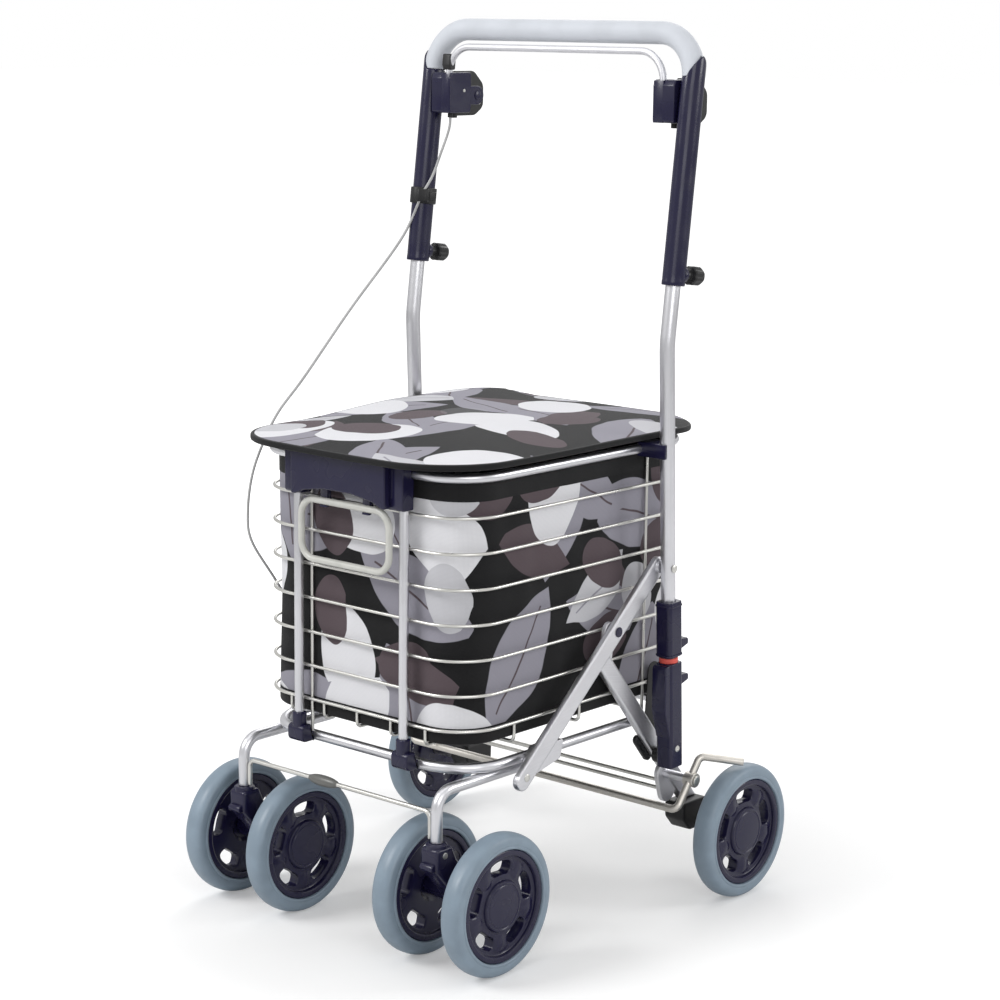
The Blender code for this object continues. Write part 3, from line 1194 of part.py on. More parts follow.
def brake_lever():
    """A bent rod under the grip, squeezed towards it, with an eye on each pivot."""
    foot = LEVER_PIVOT[0] - LEVER_EYE_RADIUS + LEVER_ROD_RADIUS
    half = [(LEVER_LEG_X, foot, LEVER_PIVOT[1])]
    half += [(LEVER_LEG_X, LEVER_BAR[0], LEVER_ELBOW_HEIGHT), (LEVER_LEG_X, *LEVER_BAR)]
    corners = half + [(-x, y, z) for x, y, z in reversed(half)]
    radii = (0.0, LEVER_ELBOW_BEND, LEVER_BEND, LEVER_BEND, LEVER_ELBOW_BEND, 0.0)
    bar = tube(bent(corners, radii, 3), LEVER_ROD_RADIUS, 8)
    eyes, bores = [], []
    for sign in (-1, 1):
        near, far = (sign * (LEVER_LEG_X + side * LEVER_EYE_HALF_WIDTH) for side in (-1, 1))
        eyes.append(rod((near, *LEVER_PIVOT), (far, *LEVER_PIVOT), LEVER_EYE_RADIUS, 12))
        near, far = near - sign * OVERCUT, far + sign * OVERCUT
        bores.append(rod((near, *LEVER_PIVOT), (far, *LEVER_PIVOT), PIVOT_PIN_RADIUS + GAP))
    lever = cut(joined(bar, *eyes), *bores)
    added("brake_lever", lever, ALUMINIUM, (0.0, *LEVER_PIVOT))


def cable_route():
    """The cable's points from the lever block to the brake bar."""
    bend = np.array((0.0, BEND_Y, UPRIGHT_BEND_HEIGHT))
    held = np.array(CABLE_BY_HANDLE) + bend
    frame = np.array(CABLE_BY_FRAME)
    sweep = np.array(CABLE_SWEEP)
    sweep[:, 2] = frame[0, 2] + sweep[:, 2] * (held[-1, 2] - frame[0, 2])
    end = np.array((0.0, BRAKE_BAR_Y, BRAKE_BAR_Z)) + CABLE_END_PLACE
    return smooth_route(np.vstack((held, sweep, frame, end)), CABLE_STEPS)


def smooth_route(points, steps):
    """Points of a smooth curve through the given ones, by the Catmull-Rom rule."""
    known = np.vstack((points[:1], points, points[-1:]))
    shares = np.arange(steps)[:, None] / steps
    curve = []
    for before, start, end, after in zip(known, known[1:], known[2:], known[3:]):
        rising = (end - before) / 2
        falling = (after - start) / 2
        square, cube = shares**2, shares**3
        part = (2 * cube - 3 * square + 1) * start + (cube - 2 * square + shares) * rising
        part += (3 * square - 2 * cube) * end + (cube - square) * falling
        curve.extend(part)
    return curve + [known[-1]]


def brake_cable():
    points = cable_route()
    curve = bpy.data.curves.new("brake_cable", "CURVE")
    curve.dimensions = "3D"
    curve.bevel_depth = CABLE_RADIUS
    curve.bevel_resolution = 2
    curve.use_fill_caps = True
    spline = curve.splines.new("POLY")
    spline.points.add(len(points) - 1)
    for knot, place in zip(spline.points, points):
        knot.co = (*place, 1.0)
    curve.materials.append(material("brake_cable", *CABLE_SLEEVE))
    cable = bpy.data.objects.new("brake_cable", curve)
    cable.location = (0.0, FRONT_AXLE_Y, 0.0)
    bpy.context.scene.collection.objects.link(cable)


def main():
    clear_scene()
    wheels()
    casters()
    base_frame()
    caster_tubes()
    front_cross_rod()
    basket_wire()
    rim_tube()
    posts()
    post_feet()
    front_plate()
    carry_loop()
    bag()
    lid()
    front_legs()
    rear_legs()
    rear_feet()
    rear_rods()
    brake_bar()
    uprights()
    lock_housings()
    lock_collars()
    rim_clips()
    sleeves()
    grip()
    knobs()
    cable_band()
    lever_blocks()
    brake_lever()
    brake_cable()


main()
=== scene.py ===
"""Looks of a shopping rollator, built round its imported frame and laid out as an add-on.

Metres, +Z up, front towards -Y. Points are written as on the frame's own drawing: x to the left of
the person who pushes, y behind the front axles, z above the floor. put() moves them to the origin.
"""

import functools
import math

import bpy
import numpy as np
from mathutils import Matrix


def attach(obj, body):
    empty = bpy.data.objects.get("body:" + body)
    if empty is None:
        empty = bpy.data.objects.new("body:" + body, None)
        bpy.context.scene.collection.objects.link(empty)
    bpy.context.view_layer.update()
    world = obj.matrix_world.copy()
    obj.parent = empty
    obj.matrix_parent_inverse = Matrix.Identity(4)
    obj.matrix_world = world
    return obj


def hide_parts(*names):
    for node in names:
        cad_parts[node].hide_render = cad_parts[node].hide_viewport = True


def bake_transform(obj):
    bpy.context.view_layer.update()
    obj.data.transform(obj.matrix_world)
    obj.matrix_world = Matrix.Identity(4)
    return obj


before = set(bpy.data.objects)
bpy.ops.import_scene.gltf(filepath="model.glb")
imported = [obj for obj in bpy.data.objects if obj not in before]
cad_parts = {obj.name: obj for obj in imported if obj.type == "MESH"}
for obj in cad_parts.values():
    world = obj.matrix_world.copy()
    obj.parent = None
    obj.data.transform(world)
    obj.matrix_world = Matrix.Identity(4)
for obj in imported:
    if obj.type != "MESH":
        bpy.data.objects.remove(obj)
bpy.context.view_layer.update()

bl_info = {
    "name": "Shopping rollator",
    "version": (1, 0, 0),
    "blender": (4, 5, 0),
    "location": "View3D > Sidebar > Rollator",
    "description": "Builds the looks of a folding shopping rollator round its frame",
    "category": "Object",
}

# Where things are on the frame's drawing. A place in side view is (y, z)
SIDES = (("left", 1), ("right", -1))
AXLES_Y = -0.18
AXLE_HEIGHT = 0.07436
REAR_WHEEL = (0.2274, 0.36)
CASTER_X, STEM_Y = 0.1396, -0.0380
# From a caster's middle to its wheels' middles, and from a wheel's middle to its axle's end
WHEEL_REACH, AXLE_END = 0.0470, 0.0056
UPRIGHT_X = 0.1815
UPRIGHT_FOOT = np.array((UPRIGHT_X, 0.2890, 0.1630))
UPRIGHT_LEAN = math.radians(-2.64)
UPRIGHT_BEND = np.array((UPRIGHT_X, 0.26816, 0.6150))
HANDLE_LEAN = math.radians(7.0)
# Directions on the leaning handle: up along it, and back, square to it
HANDLE_UP = np.array((0.0, math.sin(HANDLE_LEAN), math.cos(HANDLE_LEAN)))
HANDLE_BACK = np.array((0.0, math.cos(HANDLE_LEAN), -math.sin(HANDLE_LEAN)))
GRIP_REACH = 0.32240
TUBE_RADIUS, TUBE_BORE = 0.0080, 0.0084
BASE_HEIGHT, RIM_HEIGHT = 0.2013, 0.5020
# The rim tube's middle at the front and at the rear, and the bore of what is hooked over it
RIM_FRONT, RIM_REAR, RIM_BORE = -0.0112, 0.3620, 0.0056
POST_X = 0.0750
LOOP_PIVOT = (-0.0266, 0.4615)
FRONT_PIVOT = (0.27922, 0.3750)
FOLD_PIVOT = (0.2100, 0.3150)
BRAKE_PIVOT = (0.3110, 0.1360)
LEVER_PIVOT = (0.3320, 0.8620)
UPPER_ROD, LOWER_ROD = (0.3300, 0.1190), (0.3170, 0.1150)
# Width of the narrow row that borders a flat face
FLAT_BORDER = 0.0002


# Surfaces


def smooth(points, steps):
    """Points of a curve through the given ones: between two of them each is their cubic blend,
    with a slope at each equal to half the way from the one before to the one after."""
    p = np.asarray(points, float)
    known = np.vstack((2 * p[:1] - p[1:2], p, 2 * p[-1:] - p[-2:-1]))
    before, start, end, after = known[:-3], known[1:-2], known[2:-1], known[3:]
    t = (np.arange(steps) / steps)[None, :, None]
    rise, fall = (end - before)[:, None] / 2, (after - start)[:, None] / 2
    start, end = start[:, None], end[:, None]
    curve = (2 * t**3 - 3 * t**2 + 1) * start + (t**3 - 2 * t**2 + t) * rise
    curve = curve + (3 * t**2 - 2 * t**3) * end + (t**3 - t**2) * fall
    return np.vstack((curve.reshape(-1, p.shape[1]), p[-1:]))


def bent(corners, radii, steps, closed=False):
    """Points of straight runs whose corners are arcs: each arc starts and ends at the corner's
    distance of radius over the tangent of half its angle. A corner of no radius stays a corner."""
    p = np.asarray(corners, float)
    radii = np.broadcast_to(np.asarray(radii, float), len(p))
    rows = []
    for i, corner in enumerate(p):
        if radii[i] == 0 or (not closed and i in (0, len(p) - 1)):
            rows.append(corner[None])
            continue
        back, ahead = unit(p[i - 1] - corner), unit(p[(i + 1) % len(p)] - corner)
        half = math.acos(np.clip(back @ ahead, -1, 1)) / 2
        centre = corner + unit(back + ahead) * radii[i] / math.sin(half)
        first = corner + back * radii[i] / math.tan(half) - centre
        last = corner + ahead * radii[i] / math.tan(half) - centre
        whole = math.pi - 2 * half
        share = np.linspace(0, whole, steps + 1)[:, None]
        rows.append(centre + (first * np.sin(whole - share) + last * np.sin(share)) / math.sin(whole))
    return np.vstack(rows)


def rounded(corners, radii, steps=4):
    """An outline with rounded corners."""
    return bent(corners, radii, steps, closed=True)


def eased(profile, radius=0.0006):
    """A profile of (radius, distance) whose corners between its ends are rounded."""
    return bent(profile, radius, 3)


def oblong(half_width, front, back, corner, steps):
    """A level rectangle with rounded corners, as (x, y)."""
    corners = ((-half_width, front), (half_width, front), (half_width, back), (-half_width, back))
    return rounded(corners, corner, steps)


def circle(radius, sides):
    """Points of a circle, or of an ellipse where the radius is a pair."""
    a = 2 * np.pi * np.arange(sides) / sides
    return np.stack((np.cos(a), np.sin(a)), -1) * radius


def arc(centre, radius, first, last, count):
    """Points of an arc about a centre, from one angle to another in degrees."""
    a = np.radians(np.linspace(first, last, count))
    return np.asarray(centre, float) + radius * np.stack((np.cos(a), np.sin(a)), -1)


def stadium(start, end, radius, steps=12):
    """Outline of a bar with round ends."""
    start, end = np.asarray(start, float), np.asarray(end, float)
    heading = math.degrees(math.atan2(*(end - start)[::-1]))
    cap = arc((0, 0), radius, heading - 90, heading + 90, steps + 1)
    return np.vstack((end + cap, start - cap))


def there_and_back(half):
    """A line, and its mirror image from its end back to the start."""
    half = np.asarray(half, float)
    image = half[::-1].copy()
    image[:, 0] *= -1
    return np.vstack((half, image))


def evenly(line, count, closed=False):
    """A number of points at equal steps along a line, or round a closed one."""
    line = np.vstack((line, line[:1])) if closed else line
    lengths = np.concatenate(([0.0], np.cumsum(np.linalg.norm(np.diff(line, axis=0), axis=1))))
    steps = np.linspace(0, lengths[-1], count, endpoint=not closed)
    return np.stack([np.interp(steps, lengths, column) for column in line.T], -1)


def unit(v):
    return v / np.linalg.norm(v, axis=-1, keepdims=True)


def square_to(side, ahead):
    """Directions made square to the directions ahead."""
    return unit(side - ahead * np.einsum("ij,ij->i", side, ahead)[:, None])


def grid(points, along=False, poles=(None, None)):
    """Quads over a grid of points (rows, columns, 3), closed around its columns, and along its rows
    where asked, with a fan to each pole given. The UV is the length along and the length around."""
    rows, columns = points.shape[:2]
    wrapped = np.concatenate((points, points[:, :1]), 1)
    lengths = np.linalg.norm(np.diff(points, axis=0), axis=2).mean(1)
    u = np.concatenate(([0.0], np.cumsum(lengths), [0.0]))
    u[-1] = u[-2] + np.linalg.norm(points[0] - points[-1], axis=1).mean()
    v = np.linalg.norm(np.diff(wrapped, axis=1), axis=2).max(0)
    v = np.concatenate(([0.0], np.cumsum(v)))
    k = np.arange(columns)
    i, j = np.meshgrid(np.arange(rows if along else rows - 1), k, indexing="ij")
    corners = [(i, j), (i, j + 1), (i + 1, j + 1), (i + 1, j)]
    quads = np.stack([(a % rows) * columns + b % columns for a, b in corners], -1).reshape(-1, 4)
    uv = np.stack([np.stack((u[a], v[b]), -1) for a, b in corners], -2).reshape(-1, 4, 2)
    faces, maps, extra = [quads], [uv], []
    for pole, row in zip(poles, (0, rows - 1)):
        if pole is None:
            continue
        tip = np.full(columns, rows * columns + len(extra))
        ring = (row * columns + k, row * columns + (k + 1) % columns)
        pair = (ring[1], ring[0]) if row == 0 else ring
        faces.append(np.stack((*pair, tip), -1))
        radius = np.linalg.norm(points[row] - np.asarray(pole), axis=1).mean()
        ends = (u[row], u[row], u[row] - radius if row == 0 else u[row] + radius)
        maps.append(np.stack([np.stack((np.full(columns, end), v[k]), -1) for end in ends], -2))
        extra.append(np.asarray(pole, float)[None])
    return {"points": np.vstack([points.reshape(-1, 3), *extra]), "faces": faces, "uv": maps}


def outward(part):
    """The part with its faces turned outward, which they are when the volume they hold, the sum of
    each triangle's corner products over six, is above nothing."""
    p, volume = part["points"], 0.0
    middle = p.mean(0)
    for faces in part["faces"]:
        for k in range(1, faces.shape[1] - 1):
            a, b, c = (p[faces[:, n]] - middle for n in (0, k, k + 1))
            volume += np.einsum("ij,ij->i", a, np.cross(b, c)).sum()
    return turned_over(part) if volume < 0 else part


def turned_over(part):
    """The part with each face's corners in the opposite order."""
    faces, maps = ([each[:, ::-1] for each in part[key]] for key in ("faces", "uv"))
    return {**part, "faces": faces, "uv": maps}


def carried(path, profile, side, closed=False, scale=1.0):
    """A profile (across, up) carried along a path: each ring is the path's point plus across times
    the side direction, made square to the path, plus up times the third direction."""
    path, profile = np.asarray(path, float), np.asarray(profile, float)
    if closed:
        ahead = np.roll(path, -1, 0) - np.roll(path, 1, 0)
    else:
        ahead = np.gradient(path, axis=0)
        ahead[0], ahead[-1] = path[1] - path[0], path[-1] - path[-2]
    ahead = unit(ahead)
    across = square_to(np.broadcast_to(np.asarray(side, float), path.shape), ahead)
    up = np.cross(ahead, across)
    flat = profile[None] * np.broadcast_to(scale, len(path))[:, None, None]
    points = path[:, None] + flat[..., :1] * across[:, None] + flat[..., 1:] * up[:, None]
    if closed:
        return outward(grid(points, along=True))
    return outward(grid(points, poles=(path[0], path[-1])))


def bar(path, radius, side, sides=18, closed=False, edge=0.0006):
    """A round bar along a path, its ends turned over in a small quarter round."""
    path = np.asarray(path, float)
    if closed:
        return carried(path, circle(radius, sides), side, closed=True)
    turn = np.radians((0, 30, 60, 90))
    back = (edge - edge * np.cos(turn))[:, None]
    start = path[0] + unit(path[1] - path[0]) * back
    end = path[-1] - unit(path[-1] - path[-2]) * back
    grow = 1 - edge / radius * (1 - np.sin(turn))
    line = np.vstack((start, path[1:-1], end[::-1]))
    scale = np.concatenate((grow, np.ones(len(path) - 2), grow[::-1]))
    return carried(line, circle(radius, sides), side, scale=scale)


def pin(start, end, place, radius, sides=20, edge=0.0006):
    """A straight round bar along X at a place in side view."""
    return bar(((start, *place), (end, *place)), radius, (0, 1, 0), sides, edge=edge)


def turned(profile, centre, axis, sides):
    """A profile of (radius, distance) turned about an axis through the centre. Ends that lie on
    the axis are closed with a fan; a profile that starts and ends at one radius is a ring."""
    profile, centre = np.asarray(profile, float), np.asarray(centre, float)
    axis = unit(np.asarray(axis, float))
    aside = (0.0, 0.31, 1.0) if abs(axis[2]) < 0.9 else (0.0, 1.0, 0.2)
    first = unit(np.cross(axis, aside))
    spokes = circle(1.0, sides) @ np.stack((first, np.cross(axis, first)))
    ring = profile[0, 0] > 0 and profile[-1, 0] > 0
    inner = profile if ring else profile[1:-1]
    points = centre + inner[:, 1, None, None] * axis + inner[:, 0, None, None] * spokes
    if ring:
        return outward(grid(points, along=True))
    tips = [centre + profile[row, 1] * axis for row in (0, -1)]
    return outward(grid(points, poles=tips))


def disc(x, place, radius, depth, edge=0.0005):
    """A pin's head on a face at x: a disc with a rounded rim, domed a little, out along X."""
    lip = math.copysign(edge, depth)
    profile = ((0, 0), (radius, 0), (radius, depth - lip), (radius * 0.6, depth), (0, depth + lip / 2))
    return turned(eased(profile, min(edge, abs(depth) / 3)), (x, *place), (1, 0, 0), 32)


def inset(outline, amount):
    """An outline whose corners move inward along the halving line of the two edges that meet, and
    by no more than the amount over 0.6 at a sharp corner."""
    p = np.asarray(outline, float)
    back, ahead = unit(p - np.roll(p, 1, 0)), unit(np.roll(p, -1, 0) - p)
    quarter_turn = np.array(((0, 1), (-1, 0)))
    normal = unit((back + ahead) @ quarter_turn)
    lean = np.clip(np.abs(np.einsum("ij,ij->i", normal, back @ quarter_turn)), 0.6, 1)
    area = np.sum(p[:, 0] * np.roll(p[:, 1], -1) - np.roll(p[:, 0], -1) * p[:, 1])
    return p + math.copysign(1, area) * normal * amount / lean[:, None]


def placed(flat, axis, level):
    """Points of an outline in the two other axes, set at a level along axis 0, 1 or 2."""
    return np.insert(np.asarray(flat, float), axis, level, axis=1)


def rim_rows(edge, steps, start, end):
    """How far a block's rows lie inward, and their levels from its start to its end: a quarter
    circle of the edge's radius at each rim, and outside it one row more on the flat face, so that
    the face is shaded flat up to its rim."""
    t = np.linspace(0, np.pi / 2, steps + 1)
    shrink = np.concatenate(([edge + FLAT_BORDER], edge * (1 - np.sin(t))))
    depth = math.copysign(1, end - start) * np.concatenate(([0.0], edge * (1 - np.cos(t))))
    return np.concatenate((shrink, shrink[::-1])), np.concatenate((start + depth, end - depth[::-1]))


def block(outline, axis, start, end, edge=0.0012, steps=3):
    """A plate or block: an outline drawn out along an axis, whose rims are quarter rounds of the
    edge's radius, with a flat face at each end."""
    outline = np.asarray(outline, float)
    rows = []
    for amount, level in zip(*rim_rows(edge, steps, start, end)):
        rows.append(placed(inset(outline, amount), axis, level))
    part = grid(np.stack(rows))
    first = np.arange(len(outline))[None]
    part["faces"] += [first[:, ::-1], first + (len(rows) - 1) * len(outline)]
    part["uv"] += [outline[::-1][None], outline[None]]
    return outward(part)


def pierced(outline, centre, bore, axis, start, end, edge=0.0008, steps=3, sides=40):
    """A block with a round passage: its outline's rows with rounded rims, and the bore's circle
    back, both along rays from the bore's middle."""
    centre = np.asarray(centre, float)
    ray = rays_to(outline, centre, sides)
    far = np.asarray(outline, float) - centre
    length = np.linalg.norm(far, axis=1, keepdims=True)
    rows = []
    for amount, level in zip(*rim_rows(edge, steps, start, end)):
        flat = centre + far * (1 - amount / length)
        rows.append(placed(ray_points(flat, centre, ray), axis, level))
    border = bore + FLAT_BORDER
    for reach, level in ((border, end), (bore, end), (bore, start), (border, start)):
        rows.append(placed(centre + ray * reach, axis, level))
    return outward(grid(np.stack(rows), along=True))


def rays_to(outline, centre, sides):
    """Headings from a centre: one to each corner of an outline and others evenly turned, without
    those that are nearer than 0.01 radians to the next."""
    p = np.asarray(outline, float) - centre
    even = 2 * np.pi * (np.arange(sides) / sides - 0.5)
    heading = np.sort(np.concatenate((np.arctan2(p[:, 1], p[:, 0]), even)))
    heading = heading[np.diff(heading, append=heading[0] + 2 * np.pi) > 0.01]
    return np.stack((np.cos(heading), np.sin(heading)), -1)


def ray_points(outline, centre, ray):
    """Where the given rays from a centre meet an outline."""
    p = outline - centre
    edge = (np.roll(p, -1, 0) - p)[None]
    ray = ray[:, None]
    whole = ray[..., 0] * edge[..., 1] - ray[..., 1] * edge[..., 0]
    whole = np.where(np.abs(whole) < 1e-12, 1e-12, whole)
    far = (p[:, 0] * edge[..., 1] - p[:, 1] * edge[..., 0]) / whole
    share = (p[:, 0] * ray[..., 1] - p[:, 1] * ray[..., 0]) / whole
    far = np.where((share > -1e-6) & (share < 1 + 1e-6) & (far > 0), far, np.inf).min(1)
    return centre + ray[:, 0] * far[:, None]


def merged(parts):
    """One closed part of several that share their borders: points at one place become one."""
    nearness = 2e-6
    points = np.vstack([part["points"] for part in parts])
    places = np.round(points / nearness).astype(np.int64)
    _, first, same = np.unique(places, axis=0, return_index=True, return_inverse=True)
    faces, maps, count = [], [], 0
    for part in parts:
        faces += [same.ravel()[each + count] for each in part["faces"]]
        maps += part["uv"]
        count += len(part["points"])
    return outward({"points": points[first], "faces": faces, "uv": maps})


def moved(part, shift=(0, 0, 0), turn=None):
    points = part["points"]
    if turn is not None:
        points = points @ np.array(turn)[:3, :3].T
    return {**part, "points": points + np.asarray(shift, float)}


def mirrored(part):
    """The part's image on the other side, with its faces turned outward again."""
    return {**turned_over(part), "points": part["points"] * (-1.0, 1.0, 1.0)}


def both(part):
    return [part, mirrored(part)]


def finished(place, *parts):
    """The parts with the finish at a place among the looks of their piece."""
    return [{**part, "look": place} for part in parts]


def on_upright(part):
    """From a part made about a vertical tube to the left upright, z counted from its foot."""
    return moved(part, UPRIGHT_FOOT, Matrix.Rotation(-UPRIGHT_LEAN, 3, "X"))


def on_handle(part):
    """From a part made about a vertical tube to the left sleeve, z counted from the bend."""
    return moved(part, UPRIGHT_BEND, Matrix.Rotation(-HANDLE_LEAN, 3, "X"))


def handle_point(x, reach):
    """The point at a reach above the upright's bend, along the leaning handle."""
    return (x, *UPRIGHT_BEND[1:]) + HANDLE_UP * reach


def put(name, parts, look, body, node=None, sharp=34, looks=()):
    """Makes one mesh of the parts, at the frame's origin, with its finish and the further looks,
    and lets it ride on its body. Edges above the sharp angle in degrees are shaded as edges. It
    replaces the node of its own name where no node is given, and none where that is empty."""
    points, faces, maps, places, count = [], [], [], [], 0
    for part in parts if isinstance(parts, list) else [parts]:
        points.append(part["points"])
        for group, uv in zip(part["faces"], part["uv"]):
            faces += (group + count).tolist()
            maps.append(uv.reshape(-1, 2))
            places.append(np.full(len(group), part.get("look", 0)))
        count += len(part["points"])
    mesh = bpy.data.meshes.new("vis_" + name)
    mesh.from_pydata((np.vstack(points) + (0, AXLES_Y, 0)).tolist(), [], faces)
    mesh.uv_layers.new(name="UVMap").data.foreach_set("uv", np.vstack(maps).astype(np.float32).ravel())
    for each in (look, *looks):
        mesh.materials.append(finish(each))
    mesh.polygons.foreach_set("material_index", np.concatenate(places).astype(np.int32))
    mesh.shade_smooth()
    mesh.set_sharp_from_angle(angle=math.radians(sharp))
    mesh.update()
    piece = bpy.data.objects.new("vis_" + name, mesh)
    bpy.context.scene.collection.objects.link(piece)
    if body:
        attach(piece, body)
    node = name if node is None else node
    if node:
        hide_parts(node)
    return piece


def put_pairs(rows, looks=()):
    """Puts each row's piece on the left, and its mirror image on the right. Braces in a body's name
    stand for the side."""
    for side, sign in SIDES:
        for kind, parts, look, body in rows:
            here = parts if sign > 0 else [mirrored(part) for part in parts]
            put(f"{kind}_{side}", here, look, body.format(side), looks=looks)


# Finishes


def linear(code):
    """An sRGB hex colour as linear light: the display curve undone for each channel."""
    raw = np.array([int(code[k : k + 2], 16) for k in (1, 3, 5)]) / 255
    curve = ((raw + 0.055) / 1.055) ** 2.4
    return tuple(float(v) for v in np.where(raw <= 0.04045, raw / 12.92, curve))


def shade(colour, factor):
    """A colour made darker or lighter by a factor, up to white."""
    return tuple(min(1.0, factor * channel) for channel in colour)


def add_node(tree, kind, inputs=(), out=0, to=None, **settings):
    """Adds a shader node with its settings. Its inputs, in order or by name, are linked where they
    are outputs and set where they are values. Gives back one of its outputs, which is also linked
    to a socket where one is given."""
    node = tree.nodes.new("ShaderNode" + kind)
    for key, value in settings.items():
        setattr(node, key, value)
    for key, value in inputs.items() if isinstance(inputs, dict) else enumerate(inputs):
        socket = node.inputs[key]
        if isinstance(value, bpy.types.NodeSocket):
            tree.links.new(value, socket)
        else:
            socket.default_value = (*value, 1.0) if socket.type == "RGBA" else value
    result = node.outputs[out] if len(node.outputs) else None
    if to is not None:
        tree.links.new(result, to)
    return result


def start_finish(name, colour, roughness, metallic=0.0, **sockets):
    """A material with its shader's own sockets set; gives the material, add_node for its tree, and
    the shader's inputs."""
    made = bpy.data.materials.new(name)
    made.use_nodes = True
    made.diffuse_color = (*colour, 1.0)
    shader = made.node_tree.nodes["Principled BSDF"].inputs
    sockets |= {"Base_Color": made.diffuse_color, "Roughness": roughness, "Metallic": metallic}
    for key, value in sockets.items():
        shader[key.replace("_", " ")].default_value = value
    return made, functools.partial(add_node, made.node_tree), shader


def tinted(node, shader, pattern, low, high, colour, other):
    """Lets the base colour go from one to the other as a pattern goes from low to high."""
    share = node("MapRange", (pattern, low, high))
    node("Mix", {0: share, 6: colour, 7: other}, 2, shader["Base Color"], data_type="RGBA")


def moulded_polypropylene(name, colour, roughness=0.22):
    """Glossy injection-moulded polypropylene: a spark-eroded grain of about 0.3 mm, drawn at 1.2 mm
    so that it shows, breaks the gloss, and handling leaves paler, duller clouds of 30 mm."""
    made, node, shader = start_finish(name, colour, roughness, Specular_IOR_Level=0.42)
    place = node("TexCoord", out="Object")
    clouds = node("TexNoise", {"Vector": place, "Scale": 1 / 0.030, "Detail": 1.0})
    wear, grey = 0.1, 0.06
    worn = tuple((1 - wear) * channel + wear * grey for channel in colour)
    tinted(node, shader, clouds, 0.45, 0.80, colour, worn)
    node("MapRange", (clouds, 0.3, 0.7, roughness - 0.05, roughness + 0.08), to=shader["Roughness"])
    grain = node("TexNoise", {"Vector": place, "Scale": 1 / 0.0012, "Detail": 1.0})
    node("Bump", {"Distance": 0.000008, "Height": grain}, to=shader["Normal"])
    return made


def tyre_rubber(name, colour):
    """Moulded thermoplastic rubber, as on wheelchair tyres: an even satin grey-blue, with paler dust
    clouds of 20 mm and a skin grain of 0.5 mm, drawn at 1.4 mm so that it shows."""
    made, node, shader = start_finish(name, colour, 0.40)
    place = node("TexCoord", out="Object")
    clouds = node("TexNoise", {"Vector": place, "Scale": 1 / 0.020, "Detail": 3.0})
    tinted(node, shader, clouds, 0.40, 0.75, colour, shade(colour, 1.14))
    node("MapRange", (clouds, 0.3, 0.7, 0.34, 0.48), to=shader["Roughness"])
    grain = node("TexNoise", {"Vector": place, "Scale": 1 / 0.0014, "Detail": 1.0})
    node("Bump", {"Distance": 0.00004, "Height": grain}, to=shader["Normal"])
    return made


def anodised_aluminium(name, colour, roughness=0.33):
    """Drawn and anodised aluminium: a soft bright metal. Draw lines of 0.2 mm, drawn at 0.8 mm so
    that they show, run along each bar by its UV and break the streaks of light a little."""
    made, node, shader = start_finish(name, colour, roughness, 1.0, Anisotropic=0.3)
    place = node("Mapping", {"Vector": node("TexCoord", out="UV"), "Scale": (6.0, 1250.0, 1.0)})
    lines = node("TexNoise", {"Vector": place, "Scale": 1.0, "Detail": 2.0})
    clouds = node("TexNoise", {"Vector": node("TexCoord", out="Object"), "Scale": 1 / 0.045})
    total = node("Math", (lines, clouds), operation="ADD")
    tinted(node, shader, total, 0.8, 1.2, shade(colour, 0.93), colour)
    node("MapRange", (total, 0.8, 1.2, roughness + 0.05, roughness - 0.03), to=shader["Roughness"])
    node("Bump", {"Distance": 0.000004, "Height": lines}, to=shader["Normal"])
    return made


def plated_steel(name, colour, roughness=0.30):
    """Bright nickel-plated steel wire and pins, and satin zinc on the brake's rod and lever where the
    roughness is higher: a smooth skin, with duller clouds of 20 mm where it has been handled."""
    made, node, shader = start_finish(name, colour, roughness, 1.0)
    place = node("TexCoord", out="Object")
    clouds = node("TexNoise", {"Vector": place, "Scale": 1 / 0.020, "Detail": 1.0})
    tinted(node, shader, clouds, 0.45, 0.80, colour, shade(colour, 0.92))
    node("MapRange", (clouds, 0.3, 0.75, roughness - 0.03, roughness + 0.06), to=shader["Roughness"])
    return made


def dipped_vinyl(name, colour, darkness=1.0):
    """Steel rod dipped in vinyl: a thick satin coat without metal's glint, slightly uneven over
    15 mm where it ran as it set."""
    colour = shade(colour, darkness)
    made, node, shader = start_finish(name, colour, 0.36, Coat_Weight=0.25, Coat_Roughness=0.3)
    runs = node("TexNoise", {"Vector": node("TexCoord", out="Object"), "Scale": 1 / 0.015})
    tinted(node, shader, runs, 0.40, 0.70, colour, shade(colour, 0.9))
    node("Bump", {"Distance": 0.00015, "Height": runs}, to=shader["Normal"])
    return made


def closed_cell_foam(name, colour):
    """EVA grip foam with a skin: pores of 0.4 mm, drawn at 1.5 mm so that they show, a soft sheen
    from the skin, and a slightly greyer tone over 35 mm where hands rub."""
    made, node, shader = start_finish(name, colour, 0.60, Sheen_Weight=0.15, Sheen_Roughness=0.5)
    place = node("TexCoord", out="Object")
    pores = node("TexVoronoi", {"Vector": place, "Scale": 1 / 0.0015}, "Distance")
    rubbed = node("TexNoise", {"Vector": place, "Scale": 1 / 0.035})
    tinted(node, shader, rubbed, 0.45, 0.75, colour, shade(colour, 0.92))
    node("Bump", {"Distance": 0.00006, "Height": pores}, to=shader["Normal"])
    return made


